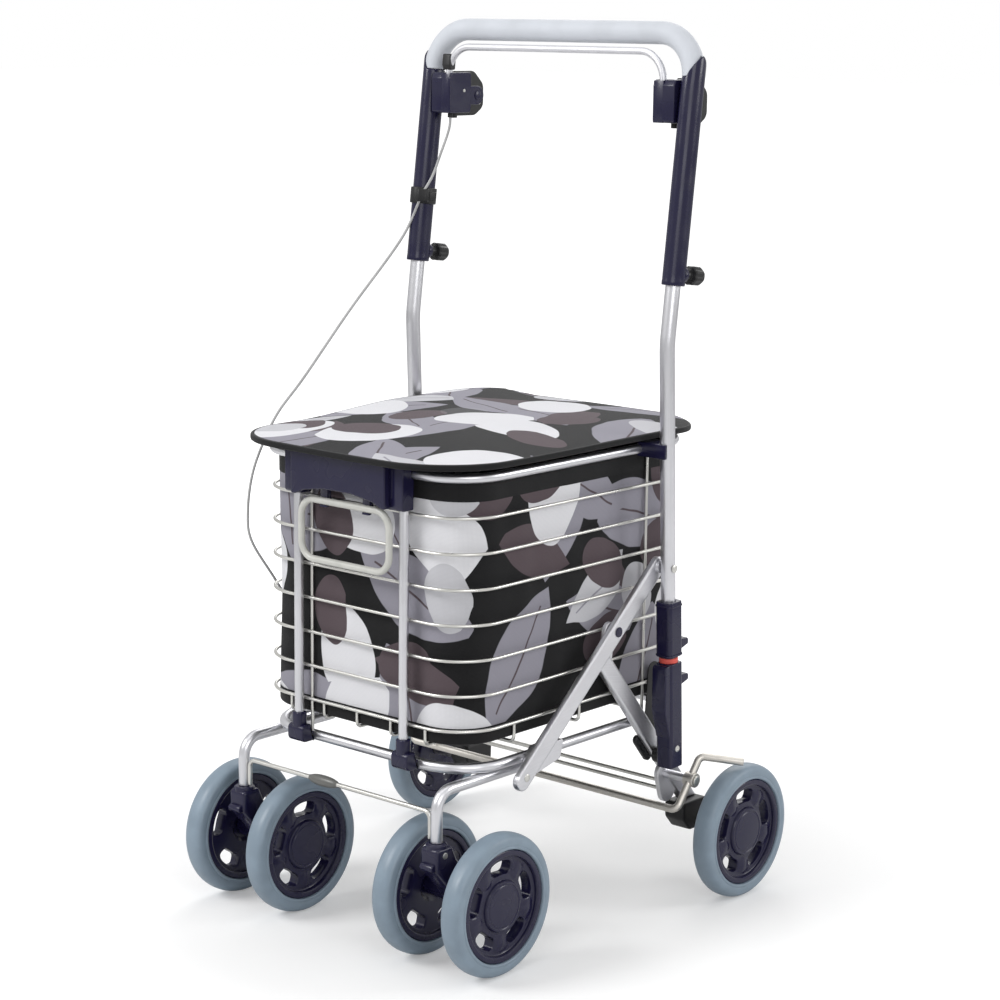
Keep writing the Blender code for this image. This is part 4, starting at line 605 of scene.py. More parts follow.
def vinyl_sheath(name, colour):
    """Extruded vinyl sleeve over a wound steel liner, whose turns show through as faint rings of
    1.2 mm, drawn 2 mm apart by the piece's UV so that they show, with greyer clouds of 20 mm."""
    made, node, shader = start_finish(name, colour, 0.40)
    along = node("SeparateXYZ", [node("TexCoord", out="UV")])
    angle = node("Math", (along, 2 * math.pi / 0.002), operation="MULTIPLY")
    rings = node("Math", [angle], operation="SINE")
    node("Bump", {"Distance": 0.00001, "Height": rings}, to=shader["Normal"])
    clouds = node("TexNoise", {"Vector": node("TexCoord", out="Object"), "Scale": 1 / 0.020})
    tinted(node, shader, clouds, 0.4, 0.7, colour, shade(colour, 0.88))
    return made


def weave(node, uv, spacing):
    """Height of a plain weave of threads a spacing in metres apart, as the product of two rounded
    waves, one along each thread direction."""
    scale = math.pi / spacing
    place = node("Mapping", {"Vector": uv, "Scale": (scale, scale, 1.0)})
    waves = []
    for axis in (0, 1):
        wave = node("Math", [node("SeparateXYZ", [place], axis)], operation="SINE")
        waves.append(node("Math", [wave], operation="ABSOLUTE"))
    return node("Math", waves, operation="MULTIPLY")


def woven_binding(name, colour):
    """Black polyester binding tape: ribs of 0.6 mm, drawn at 1.2 mm by its UV so that they show,
    with a soft fibre sheen. Its colour is darker in the hollows between the ribs and lighter on their
    crests, as painted shade and painted highlight."""
    fibres = {"Sheen_Weight": 0.12, "Sheen_Roughness": 0.4, "Specular_IOR_Level": 0.3}
    made, node, shader = start_finish(name, colour, 0.78, **fibres)
    height = weave(node, node("TexCoord", out="UV"), 0.0012)
    # Painted shade in the rib hollows and painted highlight on the crests
    painted_rib_shade = {0: height, 6: shade(colour, 0.6), 7: shade(colour, 1.2)}
    node("Mix", painted_rib_shade, 2, shader["Base Color"], data_type="RGBA")
    node("Bump", {"Distance": 0.00015, "Height": height}, to=shader["Normal"])
    return made


def motif_cells(node, uv, size, seed):
    """Cells of about the size in metres round scattered points: the place along and across in each
    cell, turned by the cell's own angle, and a random number of the cell."""
    shifted = node("Mapping", {"Vector": uv, "Location": (seed, 1.7 * seed, 0)})
    inputs = {"Vector": shifted, "Scale": 1 / size, "Randomness": 0.72}
    middle = node("TexVoronoi", inputs, "Position", voronoi_dimensions="2D")
    chance = node("TexVoronoi", inputs, "Color", voronoi_dimensions="2D")
    gap = node("VectorMath", (shifted, middle), operation="SUBTRACT")
    angle = node("Math", (node("SeparateXYZ", [chance]), 2 * math.pi), operation="MULTIPLY")
    turn = node("VectorRotate", {"Vector": gap, "Angle": angle}, rotation_type="Z_AXIS")
    along, across = (node("SeparateXYZ", [turn], axis) for axis in (0, 1))
    return along, across, node("SeparateXYZ", [chance], 1)


def motif(node, along, across, half_length, half_width, pointed):
    """1 inside a motif: where the square of the share of its length, plus the share of its width,
    stays below 1. The share of its width is squared on a pebble and not on a pointed leaf."""
    along = node("Math", (along, half_length), operation="DIVIDE")
    across = node("Math", (across, half_width), operation="DIVIDE")
    along = node("Math", (along, along), operation="MULTIPLY")
    if pointed:
        across = node("Math", [across], operation="ABSOLUTE")
    else:
        across = node("Math", (across, across), operation="MULTIPLY")
    total = node("Math", (along, across), operation="ADD")
    return node("MapRange", (total, 1.01, 0.98))


def vein(node, along, across, shown, size, length):
    """1 on the vein in a leaf's middle, which ends before the leaf does."""
    near = node("MapRange", (node("Math", [across], operation="ABSOLUTE"), size * 0.010, size * 0.006))
    shorter = motif(node, along, across, length * 0.72, size, True)
    inner = node("Math", (shorter, shown), operation="MULTIPLY")
    return node("Math", (near, inner), operation="MULTIPLY")


def printed_polyester(name, ground, plain=False):
    """Plain-woven polyester cloth, with a transfer print of leaves and pebbles in greys on black.
    Threads of 0.4 mm are drawn 1.3 mm apart so that they show, and shade the print between them."""
    fibres = {"Sheen_Weight": 0.06, "Sheen_Roughness": 0.5, "Specular_IOR_Level": 0.25}
    made, node, shader = start_finish(name, ground, 0.80, **fibres)
    uv = node("TexCoord", out="UV")
    height = weave(node, uv, 0.0013)
    tone = ground if plain else print_tone(node, uv, ground)
    dull = node("HueSaturation", {"Value": 0.84, "Color": tone})
    node("Mix", {0: height, 6: dull, 7: tone}, 2, shader["Base Color"], data_type="RGBA")
    node("Bump", {"Distance": 0.00018, "Height": height}, to=shader["Normal"])
    return made


def print_tone(node, uv, tone):
    """The print's colour: layers of leaves and pebbles over the ground, each with its own cells,
    and with edges that wander by up to 16 mm over about 70 mm."""
    wobble = node("TexNoise", {"Vector": uv, "Scale": 14.0}, "Color")
    lean = node("VectorMath", {0: wobble, "Scale": 0.016}, operation="SCALE")
    place = node("VectorMath", (uv, lean), operation="ADD")
    colours, sizes = bpy.context.scene.rollator_colours, bpy.context.scene.rollator_sizes
    big, small = sizes.leaf_spacing, sizes.pebble_spacing
    # Cell size, seed, leaf or pebble, half length and half width in cells, colour, share left out
    layers = (
        (big, 0.31, True, 0.56, 0.25, "mid", 0.0),
        (big * 0.86, 1.93, True, 0.50, 0.19, "mauve", 0.62),
        (big * 0.92, 4.37, True, 0.50, 0.21, "mid", 0.40),
        (big * 0.95, 7.21, True, 0.46, 0.19, "pale", 0.50),
        (small * 1.4, 5.11, False, 0.42, 0.30, "white", 0.55),
        (small, 2.63, False, 0.40, 0.27, "mauve", 0.72),
        (small, 9.47, False, 0.36, 0.28, "pale", 0.70),
    )
    for size, seed, leaf, long, wide, colour, rarity in layers:
        along, across, chance = motif_cells(node, place, size, seed)
        inside = motif(node, along, across, size * long, size * wide, leaf)
        picked = node("MapRange", (chance, rarity, rarity + 0.001))
        shown = node("Math", (inside, picked), operation="MULTIPLY")
        inks = [(shown, colour)]
        if leaf and colour != "mauve":
            line = vein(node, along, across, shown, size, size * long)
            inks.append((line, "mauve" if colour == "mid" else "mid"))
        for share, ink in inks:
            ink = getattr(colours, "print_" + ink)
            tone = node("Mix", {0: share, 6: tone, 7: ink}, 2, data_type="RGBA")
    return tone


# Each finish's slot, its function, its colour, and what else the function is told
RECIPES = {
    "navy_polypropylene": ("navy_plastic", moulded_polypropylene, "navy"),
    "black_polypropylene": ("black_plastic", moulded_polypropylene, "black", 0.42),
    "red_polypropylene": ("navy_plastic", moulded_polypropylene, "indicator", 0.4),
    "tyre_rubber": ("tyre_grey", tyre_rubber, "tyre"),
    "anodised_aluminium": ("aluminium_tube", anodised_aluminium, "aluminium"),
    "plated_wire": ("bright_wire", plated_steel, "wire"),
    "plated_pin": ("steel_axle", plated_steel, "wire", 0.34),
    "brake_rod": ("bright_wire", plated_steel, "brake", 0.42),
    "satin_lever": ("aluminium_tube", plated_steel, "aluminium", 0.48),
    "coated_loop": ("bright_wire", dipped_vinyl, "loop"),
    "buffer_vinyl": ("black_plastic", dipped_vinyl, "loop", 0.22),
    "grip_foam": ("grip_foam", closed_cell_foam, "grip"),
    "cable_sheath": ("cable_grey", vinyl_sheath, "cable"),
    "printed_cloth": ("bag_fabric", printed_polyester, "print_ground"),
    "plain_cloth": ("bag_fabric", printed_polyester, "print_ground", True),
    "binding_tape": ("bag_fabric", woven_binding, "print_ground"),
}
FINISHES = {}


def finish(name):
    """The named finish, made when it is first asked for, in the colour that the user has set."""
    if name not in FINISHES:
        _, recipe, colour, *more = RECIPES[name]
        colour = tuple(getattr(bpy.context.scene.rollator_colours, colour))
        FINISHES[name] = recipe(name, colour, *more)
    return FINISHES[name]


def colour_property(name, description, code):
    return bpy.props.FloatVectorProperty(
        name=name, description=description, subtype="COLOR", min=0.0, max=1.0, default=linear(code)
    )


def length_property(name, description, default):
    return bpy.props.FloatProperty(
        name=name, description=description, default=default, min=0.0, unit="LENGTH", precision=4
    )


class RollatorColours(bpy.types.PropertyGroup):
    """Colours that a user would change."""

    navy: colour_property("Navy plastic", "Hubs, forks, sleeves and blocks", "#1c1a38")
    black: colour_property("Black plastic", "Knobs, band and rear feet", "#161618")
    indicator: colour_property("Lock indicator", "Ring between the lock's halves", "#e05a50")
    tyre: colour_property("Tyres", "Rubber of the six tyres", "#8292a0")
    aluminium: colour_property("Aluminium", "Tubes and leg bars", "#e2e2e6")
    wire: colour_property("Wire", "Basket wire, rods and pins", "#dcdbd6")
    brake: colour_property("Brake bar", "Slightly brown plated rod", "#d6d2cb")
    loop: colour_property("Carry loop", "Vinyl coat of the loop at the front", "#c9c9c3")
    grip: colour_property("Grip", "Foam of the pushing handle", "#cdd1d8")
    cable: colour_property("Cable", "Sleeve of the brake cable", "#b4b4b4")
    print_ground: colour_property("Cloth ground", "Black ground of the cloth and its tape", "#131315")
    print_mid: colour_property("Print grey", "Large leaves", "#9c9aa5")
    print_pale: colour_property("Print pale grey", "Smaller leaves and pebbles", "#cfcfd4")
    print_white: colour_property("Print white", "Large pebbles", "#ececf0")
    print_mauve: colour_property("Print mauve", "Brown-mauve leaves and pebbles", "#5c5055")


class RollatorSizes(bpy.types.PropertyGroup):
    """Sizes that a user would change."""

    tyre_radius: length_property("Tyre radius", "From the axle to the tread", 0.0743)
    hub_cap_radius: length_property("Hub cap radius", "Of the cap in a hub's middle", 0.0266)
    wire_radius: length_property("Wire radius", "Of the basket's wire", 0.0018)
    bag_sag: length_property("Bag sag", "How deep the slack folds in the bag's sides are", 0.0009)
    lid_binding: length_property("Lid binding", "Thickness of the bound edge of the lid", 0.0066)
    leaf_spacing: length_property("Leaf spacing", "Distance between the print's large leaves", 0.150)
    pebble_spacing: length_property("Pebble spacing", "Distance between the print's pebbles", 0.095)


# Wheels and casters

# A hub's web: the levels of its faces, its radii, and its windows' middle radius and half sizes
WEB_FRONT, WEB_BACK = 0.0064, -0.0070
WEB_INNER, WEB_OUTER = 0.0288, 0.0502
WINDOW_MIDDLE, WINDOW_HALF_HEIGHT = 0.0398, 0.0072
WINDOW_HALF_ANGLE = math.radians(21)


def tyre_part():
    """A tyre turned about X: its section is a smooth curve from the bead over a small lip, the
    side wall and the crowned tread, and the same back."""
    top = bpy.context.scene.rollator_sizes.tyre_radius
    half = np.array((
        (0.0587, 0.0095), (0.0590, 0.0118), (0.0600, 0.01275), (0.0618, 0.0126), (0.0624, 0.0121),
        (0.0634, 0.01235), (0.0668, 0.0123), (0.0700, 0.0113), (0.0722, 0.0092), (0.0736, 0.0062),
        (top - 0.00008, 0.0028), (top - 0.00002, 0.0007), (top, 0.0),
    ))
    section = np.vstack((half, half[-2::-1] * (1, -1)))
    return turned(smooth(section, 4), (0, 0, 0), (1, 0, 0), 112)


def hub_web():
    """One fifth of the web round a window, five times: its columns run from the window's edge, a
    rounded box in angle and radius, out to the fifth's own border, over both faces."""
    side = np.linspace(-1, 1, 13)[:-1]
    one = np.ones(len(side))
    edges = ((side, -one), (one, side), (-side, one), (-one, -side))
    border = np.vstack([np.stack(pair, -1) for pair in edges])
    power = 3.4
    window = border / (np.abs(border) ** power).sum(1, keepdims=True) ** (1 / power)

    def ring(share, depth, lift):
        angle = (1 - share) * border[:, 0] * math.pi / 5 + share * window[:, 0] * WINDOW_HALF_ANGLE
        far = (WEB_INNER + WEB_OUTER) / 2 + border[:, 1] * (WEB_OUTER - WEB_INNER) / 2
        near = WINDOW_MIDDLE + window[:, 1] * WINDOW_HALF_HEIGHT
        radius = (1 - share) * far + share * near
        crest = lift * (1 - np.abs(border[:, 1]) ** 2) * np.abs(border[:, 0]) ** 3 * (1 - share)
        return np.stack((depth + crest, radius * np.cos(angle), radius * np.sin(angle)), -1)

    shares = (0.0, 0.35, 0.75, 0.93, 1.0)
    fronts = WEB_FRONT - np.array((0.0, 0.0, 0.0003, 0.0004, 0.0011))
    backs = WEB_BACK + np.array((0.0008, 0.0002, 0.0, 0.0, 0.0))
    rows = [ring(share, depth, 0.0022) for share, depth in zip(shares, fronts)]
    rows += [ring(share, depth, 0.0) for share, depth in zip(shares[::-1], backs)]
    sector = grid(np.stack(rows))
    return [moved(sector, turn=Matrix.Rotation(math.pi * (0.5 + 0.4 * k), 3, "X")) for k in range(5)]


def hub_part():
    """A moulded hub, its cap towards +X: the web with its windows, and the rim, the cap and the
    bored back turned about X, each starting or ending on the web's borders."""
    cap = bpy.context.scene.rollator_sizes.hub_cap_radius
    rim = eased((
        (WEB_OUTER, WEB_FRONT), (0.0512, 0.0070), (0.0514, 0.0090), (0.0522, 0.0108), (0.0538, 0.0113),
        (0.0574, 0.0113), (0.0584, 0.0106), (0.0584, -0.0106), (0.0574, -0.0113), (0.0532, -0.0113),
        (0.0518, -0.0108), (0.0513, -0.0096), (0.0511, -0.0080), (WEB_OUTER, WEB_BACK),
    ), 0.0003)
    front = eased((
        (0.0, 0.0110), (cap - 0.0052, 0.0106), (cap - 0.0044, 0.0100), (cap - 0.0034, 0.0100),
        (cap - 0.0026, 0.0106), (cap - 0.0009, 0.0102), (cap, 0.0088), (cap + 0.0006, 0.0070),
        (WEB_INNER, WEB_FRONT),
    ), 0.0003)
    back = eased((
        (WEB_INNER, WEB_BACK), (0.0180, WEB_BACK), (0.0140, -0.00325), (0.0046, -0.00325),
        (0.0044, -0.0030), (0.0044, 0.0060), (0.0, 0.0060),
    ), 0.0001)
    spin = circle(1.0, 60)
    parts = hub_web()
    for profile in (rim, front, back):
        rows = profile[profile[:, 0] > 0]
        around = rows[:, :1, None] * spin
        along = np.broadcast_to(rows[:, 1:, None], (*around.shape[:2], 1))
        poles = [(end[1], 0, 0) if end[0] == 0 else None for end in (profile[0], profile[-1])]
        parts.append(grid(np.concatenate((along, around), -1), poles=poles))
    return merged(parts)


def build_wheels():
    """Six wheels of one tyre and one hub, set on the three axle lines and mirrored. A hub's cap
    faces away from the cart's middle, but on the inner front wheels it faces it."""
    tyre, hub = tyre_part(), hub_part()
    for name, x, y, own_hub in (
        ("front_outer", CASTER_X + WHEEL_REACH, 0.0, hub),
        ("front_inner", CASTER_X - WHEEL_REACH, 0.0, mirrored(hub)),
        ("rear", *REAR_WHEEL, hub),
    ):
        for side, sign in SIDES:
            for kind, part, look, sharp in (
                ("tyre", tyre, "tyre_rubber", 40), ("hub", own_hub, "navy_polypropylene", 36)
            ):
                part = moved(part, (x, y, AXLE_HEIGHT))
                part = part if sign > 0 else mirrored(part)
                put(f"{kind}_{name}_{side}", part, look, f"wheel_{name}_{side}", sharp=sharp)


def fork_parts():
    """A softly rounded fork about the axle's foot, its neck under the stem, the boss between the
    wheels, a lug at its front and a screw on its side."""
    half, web, place = 0.0120, 0.0437, (CASTER_X, 0, AXLE_HEIGHT)
    foot = arc((0, AXLE_HEIGHT), 0.0130, 225, 405, 15)
    outline = np.vstack((
        ((-0.0495, 0.1345), (-0.0495, 0.1115)), foot, ((-0.0195, 0.1195), (-0.0265, 0.1345))
    ))
    radii = (0.0045, 0.0120, *np.zeros(15), 0.0060, 0.0045)
    neck = ((0, 0.1200), (0.0111, 0.1200), (0.0111, 0.1366), (0.0096, 0.1375), (0, 0.1375))
    boss = (
        (0, -web), (0.0106, -web), (0.0110, -0.0150), (0.0110, 0.0150), (0.0106, web), (0, web)
    )
    lug = stadium((-0.0505, 0.1148), (-0.0440, 0.1148), 0.0040)
    return [
        block(rounded(outline, radii, 5), 0, CASTER_X - half, CASTER_X + half, 0.0040, 5),
        turned(eased(neck), (CASTER_X, STEM_Y, 0), (0, 0, 1), 40),
        bar(((CASTER_X, STEM_Y, 0.1370), (CASTER_X, STEM_Y, 0.1600)), 0.0035, (1, 0, 0)),
        turned(eased(boss), place, (1, 0, 0), 40),
        block(lug, 0, CASTER_X - 0.0085, CASTER_X + 0.0085),
        *finished(1, disc(CASTER_X + 0.0118, (STEM_Y, 0.1265), 0.0034, 0.0009)),
    ]


def build_casters():
    """Two casters: the fork, its axle, the bent tube it swivels on, and the thin rod between the
    tubes with a small moulded buffer."""
    reach = WHEEL_REACH + AXLE_END
    axle = pin(CASTER_X - reach, CASTER_X + reach, (0, AXLE_HEIGHT), 0.0040)
    corners = ((CASTER_X, STEM_Y, 0.1378), (CASTER_X, STEM_Y, 0.1895), (CASTER_X, 0.0950, 0.1895))
    tube = bar(bent(corners, 0.0200, 12), 0.0060, (1, 0, 0), 24)
    put_pairs((
        ("caster_fork", fork_parts(), "navy_polypropylene", "caster_{}"),
        ("caster_axle", [axle], "plated_pin", "caster_{}"),
        ("caster_tube", [tube], "anodised_aluminium", "frame"),
    ), ("plated_pin",))
    x, height = -0.1308, 0.1680
    corners = there_and_back(((x, STEM_Y, 0.1402), (x, STEM_Y, height)))
    rod = bar(bent(corners, 0.0080, 8), 0.0025, (0, 1, 0), 14)
    put("front_cross_rod", rod, "plated_wire", "frame")
    t = np.linspace(0, math.pi, 15)
    profile = np.stack((0.0060 * np.abs(np.sin(t)) ** 0.9, -0.0220 * np.cos(t)), -1)
    profile[[0, -1], 0] = 0
    buffer = turned(profile, (-0.0195, STEM_Y, height), (1, 0, 0), 28)
    put("rod_buffer", buffer, "buffer_vinyl", "frame", "")


# Basket and front


def basket_wires(ring):
    """Rings of wire as rounded oblongs, bars that stand inside them, and floor bars that turn up to
    the lowest ring."""
    radius = bpy.context.scene.rollator_sizes.wire_radius
    lowest, spacing, inside, front, back = 0.2423, 0.0365, 0.1471, -0.0083, 0.3591
    levels = lowest + spacing * np.arange(7)
    wires = [bar(placed(ring, 2, z), radius, (0, 0, 1), 12, closed=True) for z in levels]
    for sign in (-1, 1):
        for x, y in ((0.0655, front), (POST_X, back), (inside, 0.2830)):
            wires.append(bar(((sign * x, y, 0.2071), (sign * x, y, 0.4965)), radius, (1, 0, 0), 12))
    for x in 0.0480 * np.arange(-2, 3):
        corners = ((x, front, lowest), (x, front, 0.2239), (x, back, 0.2239), (x, back, lowest))
        wires.append(bar(bent(corners, 0.0060, 6), radius, (1, 0, 0), 12))
    for y in (0.0700, 0.1750, 0.2550):
        corners = there_and_back(((-inside, y, lowest), (-inside, y, 0.2210)))
        wires.append(bar(bent(corners, 0.0060, 6), radius, (0, 1, 0), 12))
    return wires


def rim_clip():
    """A clip that holds the upright in a slot, with a tail to the rim."""
    middle = UPRIGHT_FOOT[1] + math.tan(UPRIGHT_LEAN) * (RIM_HEIGHT - UPRIGHT_FOOT[2])
    front, back, tail, half_height = middle - 0.0105, middle + 0.0165, 0.1500, 0.0078
    slot = arc((UPRIGHT_X, middle), 0.0087, 301.2, 180, 10)
    clip = np.vstack((
        ((tail, front), (slot[0, 0], front)), slot, ((slot[-1, 0], back), (tail, back))
    ))
    return block(clip, 2, RIM_HEIGHT - half_height, RIM_HEIGHT + half_height, 0.0008)


def build_basket():
    """The base frame's bent tube, the rim's, the welded wire and the clips to the uprights."""
    base = placed(oblong(0.1460, -0.0030, 0.3591, 0.0550, 14), 2, BASE_HEIGHT)
    outline = oblong(0.1500, RIM_FRONT, RIM_REAR, 0.0530, 14)
    rim = placed(outline, 2, RIM_HEIGHT)
    for name, line, radius in (("base_frame", base, 0.0055), ("rim_tube", rim, 0.0052)):
        tube = bar(line, radius, (0, 0, 1), 22, closed=True)
        put(name, tube, "anodised_aluminium", "frame")
    put("basket_wire", basket_wires(outline), "plated_wire", "frame")
    put_pairs([("rim_clip", [rim_clip()], "navy_polypropylene", "frame")])


def post_foot():
    """A moulded foot that saddles the base frame's front tube, and the collar round its post."""
    low, high = 0.1965, 0.2150
    saddle = arc((-0.0030, BASE_HEIGHT), 0.0058, 130, 230, 9)
    foot = np.vstack((
        ((-0.0253, low), (-0.0253, high), (-0.0115, high), (-0.0115, 0.2085)),
        saddle,
        ((saddle[-1, 0], low),),
    ))
    radii = (0.0060, 0.0050, 0.0018, 0.0014, *np.zeros(10))
    collar = oblong(0.0068, -0.0250, -0.0118, 0.0045, 6) + (POST_X, 0)
    return [
        block(rounded(foot, radii, 5), 0, POST_X - 0.0112, POST_X + 0.0112, 0.0016, 4),
        block(collar, 2, 0.2110, 0.2285, 0.0016, 4),
    ]


def rim_cheek():
    """An end block of the front plate, with a hook over the rim's front tube."""
    top, face = 0.5120, -0.0303
    hook = arc((RIM_FRONT, RIM_HEIGHT), RIM_BORE, 250, 90, 12)
    cheek = np.vstack((
        ((face, top), (face, 0.4655), (hook[0, 0], 0.4655)), hook, ((RIM_FRONT, top),)
    ))
    radii = (0.0040, 0.0040, 0.0020, *np.zeros(12), 0.0016)
    return block(rounded(cheek, radii, 5), 0, 0.0604, 0.0835, 0.0013)


def loop_hook():
    """A curled hook under the front plate, open below, that holds the carry loop."""
    y, near, wall, low = LOOP_PIVOT[0], 0.0040, 0.0062, 0.4755
    high, back = low + 0.0060, y - 0.0007
    curl = np.vstack((
        arc(LOOP_PIVOT, near, -100, 90, 14),
        ((y, low - 0.0022), (back, low), (back, high), (y + wall, high)),
        arc(LOOP_PIVOT, wall, 0, -100, 9),
    ))
    return block(curl, 0, 0.0250, 0.0350, 0.0005, 2)


def build_front():
    """The posts in their moulded feet, the front plate with end blocks that hook over the rim, and
    the coated loop that hangs from two curled hooks."""
    post = bar(((POST_X, -0.0183, 0.2105), (POST_X, -0.0183, 0.4855)), 0.0050, (1, 0, 0), 22)
    put_pairs((
        ("post_foot", post_foot(), "navy_polypropylene", "frame"),
        ("post", [post], "anodised_aluminium", "frame"),
    ))
    arch = ((0.0200, 0.4765), (0.0500, 0.4720), (0.0610, 0.4668), (0.0665, 0.4668), (0.0665, 0.5115))
    radii = (0.0200, 0.0060, 0.0020, 0.0018, 0.0030)
    strip = ((-0.0700, 0.4780), (0.0700, 0.4780), (0.0700, 0.5080), (-0.0700, 0.5080))
    parts = [
        block(rounded(there_and_back(arch), radii + radii[::-1], 5), 1, -0.0385, -0.0303, 0.0014, 4),
        block(strip, 1, -0.0306, -0.0235, 0.0008),
        *both(rim_cheek()),
        *both(loop_hook()),
    ]
    put("front_plate", parts, "navy_polypropylene", "frame")
    loop = placed(oblong(0.0623, 0.3987, LOOP_PIVOT[1], 0.0180, 12), 1, LOOP_PIVOT[0])
    loop = bar(loop, 0.0037, (0, 1, 0), 20, closed=True)
    put("carry_loop", loop, "coated_loop", "carry_loop")


# Legs and uprights


def front_leg_parts():
    """A slanting bar with round ends, its gusset on the base frame, a spacer and three pin heads."""
    slant = stadium((0.0600, 0.1850), FRONT_PIVOT, 0.0100, 18)
    gusset = ((0.0670, 0.1820), (0.0890, 0.2140), (0.1310, 0.2150), (0.1250, 0.1950))
    return [
        block(slant, 0, 0.1625, 0.1709, 0.0024, 5),
        pierced(rounded(gusset, 0.0030, 5), (0.0950, 0.2040), 0.0035, 0, 0.1518, 0.1640),
        pin(0.1700, 0.1732, FRONT_PIVOT, 0.0070, 28),
        *finished(
            1,
            disc(0.1896, FRONT_PIVOT, 0.0045, 0.0015),
            disc(0.1627, FRONT_PIVOT, 0.0056, -0.0014),
            disc(0.1707, (0.0640, 0.1885), 0.0042, 0.0012),
        ),
    ]


def rear_leg_parts():
    """A bar from its round top down to the foot, cut level there, with the fold's bracket, the
    brake's lug and spacer, pin heads, and a black strap and pad on its inner side."""
    aim, top, cut = np.array((0.3600, 0.0920)), np.array((0.2030, 0.2790)), 0.0990
    slope = unit(aim - top)
    heading = math.degrees(math.atan2(slope[1], slope[0]))
    round_top = arc(top, 0.0100, heading + 90, heading + 270, 16)
    ends = [point + slope * (cut - point[1]) / slope[1] for point in (round_top[-1], round_top[0])]
    bracket, lug = stadium(top, FOLD_PIVOT, 0.0090, 14), stadium(BRAKE_PIVOT, LOWER_ROD, 0.0130, 14)
    strap = stadium((0.2720, 0.1800), (0.2900, 0.1586), 0.0052, 10)
    pad = stadium((0.2900, 0.1740), (0.2960, 0.2540), 0.0100, 14)
    return [
        block(np.vstack((round_top, ends)), 0, 0.1530, 0.1620, 0.0024, 5),
        *finished(3, block(bracket, 0, 0.1545, 0.1605), block(lug, 0, 0.1545, 0.1605)),
        pin(0.1600, 0.1891, BRAKE_PIVOT, 0.0050, 24),
        *finished(1, disc(0.2029, BRAKE_PIVOT, 0.0055, 0.0016), disc(0.1532, FOLD_PIVOT, 0.0056, -0.0014)),
        *finished(4, disc(0.1712, FOLD_PIVOT, 0.0055, 0.0006, 0.0002)),
        *finished(1, disc(0.1532, UPPER_ROD, 0.0040, -0.0012)),
        *finished(2, block(strap, 0, 0.1532, 0.1478), block(pad, 0, 0.1531, 0.1519, 0.0004)),
    ]


def build_legs():
    """Front and rear legs, moulded feet, rear axles with spacers, and the two thin rods between
    the legs."""
    corners = ((0.3290, 0.0985), (0.3290, 0.0800), (0.3420, 0.0655), (0.3730, 0.0655), (0.3740, 0.0985))
    foot = rounded(corners, (0.0040, 0.0080, 0.0080, 0.0100, 0.0060), 5)
    foot = block(foot, 0, 0.1470, 0.1735, 0.0024, 4)
    x, place = REAR_WHEEL[0], (REAR_WHEEL[1], AXLE_HEIGHT)
    axle = [
        pin(0.1430, x + AXLE_END, place, 0.0040),
        pin(0.1746, 0.2240, place, 0.0065, 24),
        disc(0.1448, place, 0.0070, -0.0018),
    ]
    put_pairs((
        ("front_leg", front_leg_parts(), "anodised_aluminium", "frame"),
        ("rear_leg", rear_leg_parts(), "anodised_aluminium", "rear_legs"),
        ("rear_foot", [foot], "black_polypropylene", "rear_legs"),
        ("rear_axle", axle, "plated_pin", "rear_legs"),
    ), ("plated_pin", "black_polypropylene", "satin_lever", "navy_polypropylene"))
    for kind, place, x in (("upper", UPPER_ROD, 0.1530), ("lower", LOWER_ROD, 0.1545)):
        rod = pin(-x, x, place, 0.0024, 14)
        put("rear_rod_" + kind, rod, "plated_wire", "rear_legs")


def slider(low, high, tab):
    """A moulding that slides on an upright, with a bore and a finger tab at its back."""
    body = pierced(slider_outline(0.0), (0, 0), TUBE_BORE, 2, low, high, 0.0010, 3, 56)
    root, tip = 0.0100, 0.0255
    side = ((root, tab - 0.0060), (tip, tab - 0.0020), (tip, tab + 0.0050), (root, tab + 0.0060))
    side = rounded(side, (0.0018, 0.0025, 0.0025, 0.0018), 5)
    return [body, block(side, 0, -0.0050, 0.0080, 0.0014, 4)]


def slider_outline(out):
    """A slider's level outline, a little out from its own."""
    outline = oblong(0.0104 + out, -0.0115 - out, 0.0115 + out, 0.0042 + out * 0.75, 6)
    return outline + (0.0008, 0)


def housing_parts():
    """A lock housing: a slider with a keel in front, a screw on its side, a washer and a stub at its
    lower pivot, and a red ring on top."""
    keel = ((-0.0080, 0.0120), (-0.0080, 0.1070), (-0.0175, 0.1070), (-0.0190, 0.0560))
    keel = rounded(keel, (0.0018, 0.0018, 0.0050, 0.0150), 6)
    screw = eased(((0, 0), (0.0035, 0), (0.0035, 0.0008), (0.0012, 0.0011), (0, 0.0005)), 0.0003)
    return [
        *slider(-0.0090, 0.1080, 0.0860),
        block(keel, 0, -0.0090, 0.0098, 0.0014, 4),
        *finished(1, turned(screw, (0.0111, 0, 0.0120), (1, 0, 0), 28)),
        *finished(2, pin(-0.0180, -0.0098, (0, 0), 0.0085, 28, edge=0.0010)),
        pin(-0.0192, -0.0090, (0, 0), 0.0040, 22),
        *finished(3, pierced(circle(0.0103, 44), (0, 0), TUBE_BORE, 2, 0.1082, 0.1136, 0.0004, 2, 44)),
    ]


def build_uprights():
    """The two bent uprights, the lock housings round their feet, and the finger collars above, each
    between two ribs."""
    line = bent((UPRIGHT_FOOT, UPRIGHT_BEND, handle_point(UPRIGHT_X, 0.1900)), 0.1200, 14)
    tube = bar(line, TUBE_RADIUS, (1, 0, 0), 28)
    collar = slider(0.1150, 0.1760, 0.1260)
    for z in (0.1705, 0.1160):
        collar.append(pierced(slider_outline(0.0008), (0, 0), TUBE_BORE, 2, z, z + 0.0022, 0.0007, 2, 56))
    housing, collar = ([on_upright(part) for part in parts] for parts in (housing_parts(), collar))
    put_pairs((
        ("upright", [tube], "anodised_aluminium", "uprights"),
        ("lock_housing", housing, "navy_polypropylene", "lock_housings"),
        ("lock_collar", collar, "navy_polypropylene", "lock_collar_{}"),
    ), ("plated_pin", "black_polypropylene", "red_polypropylene"))


# Handle and brake

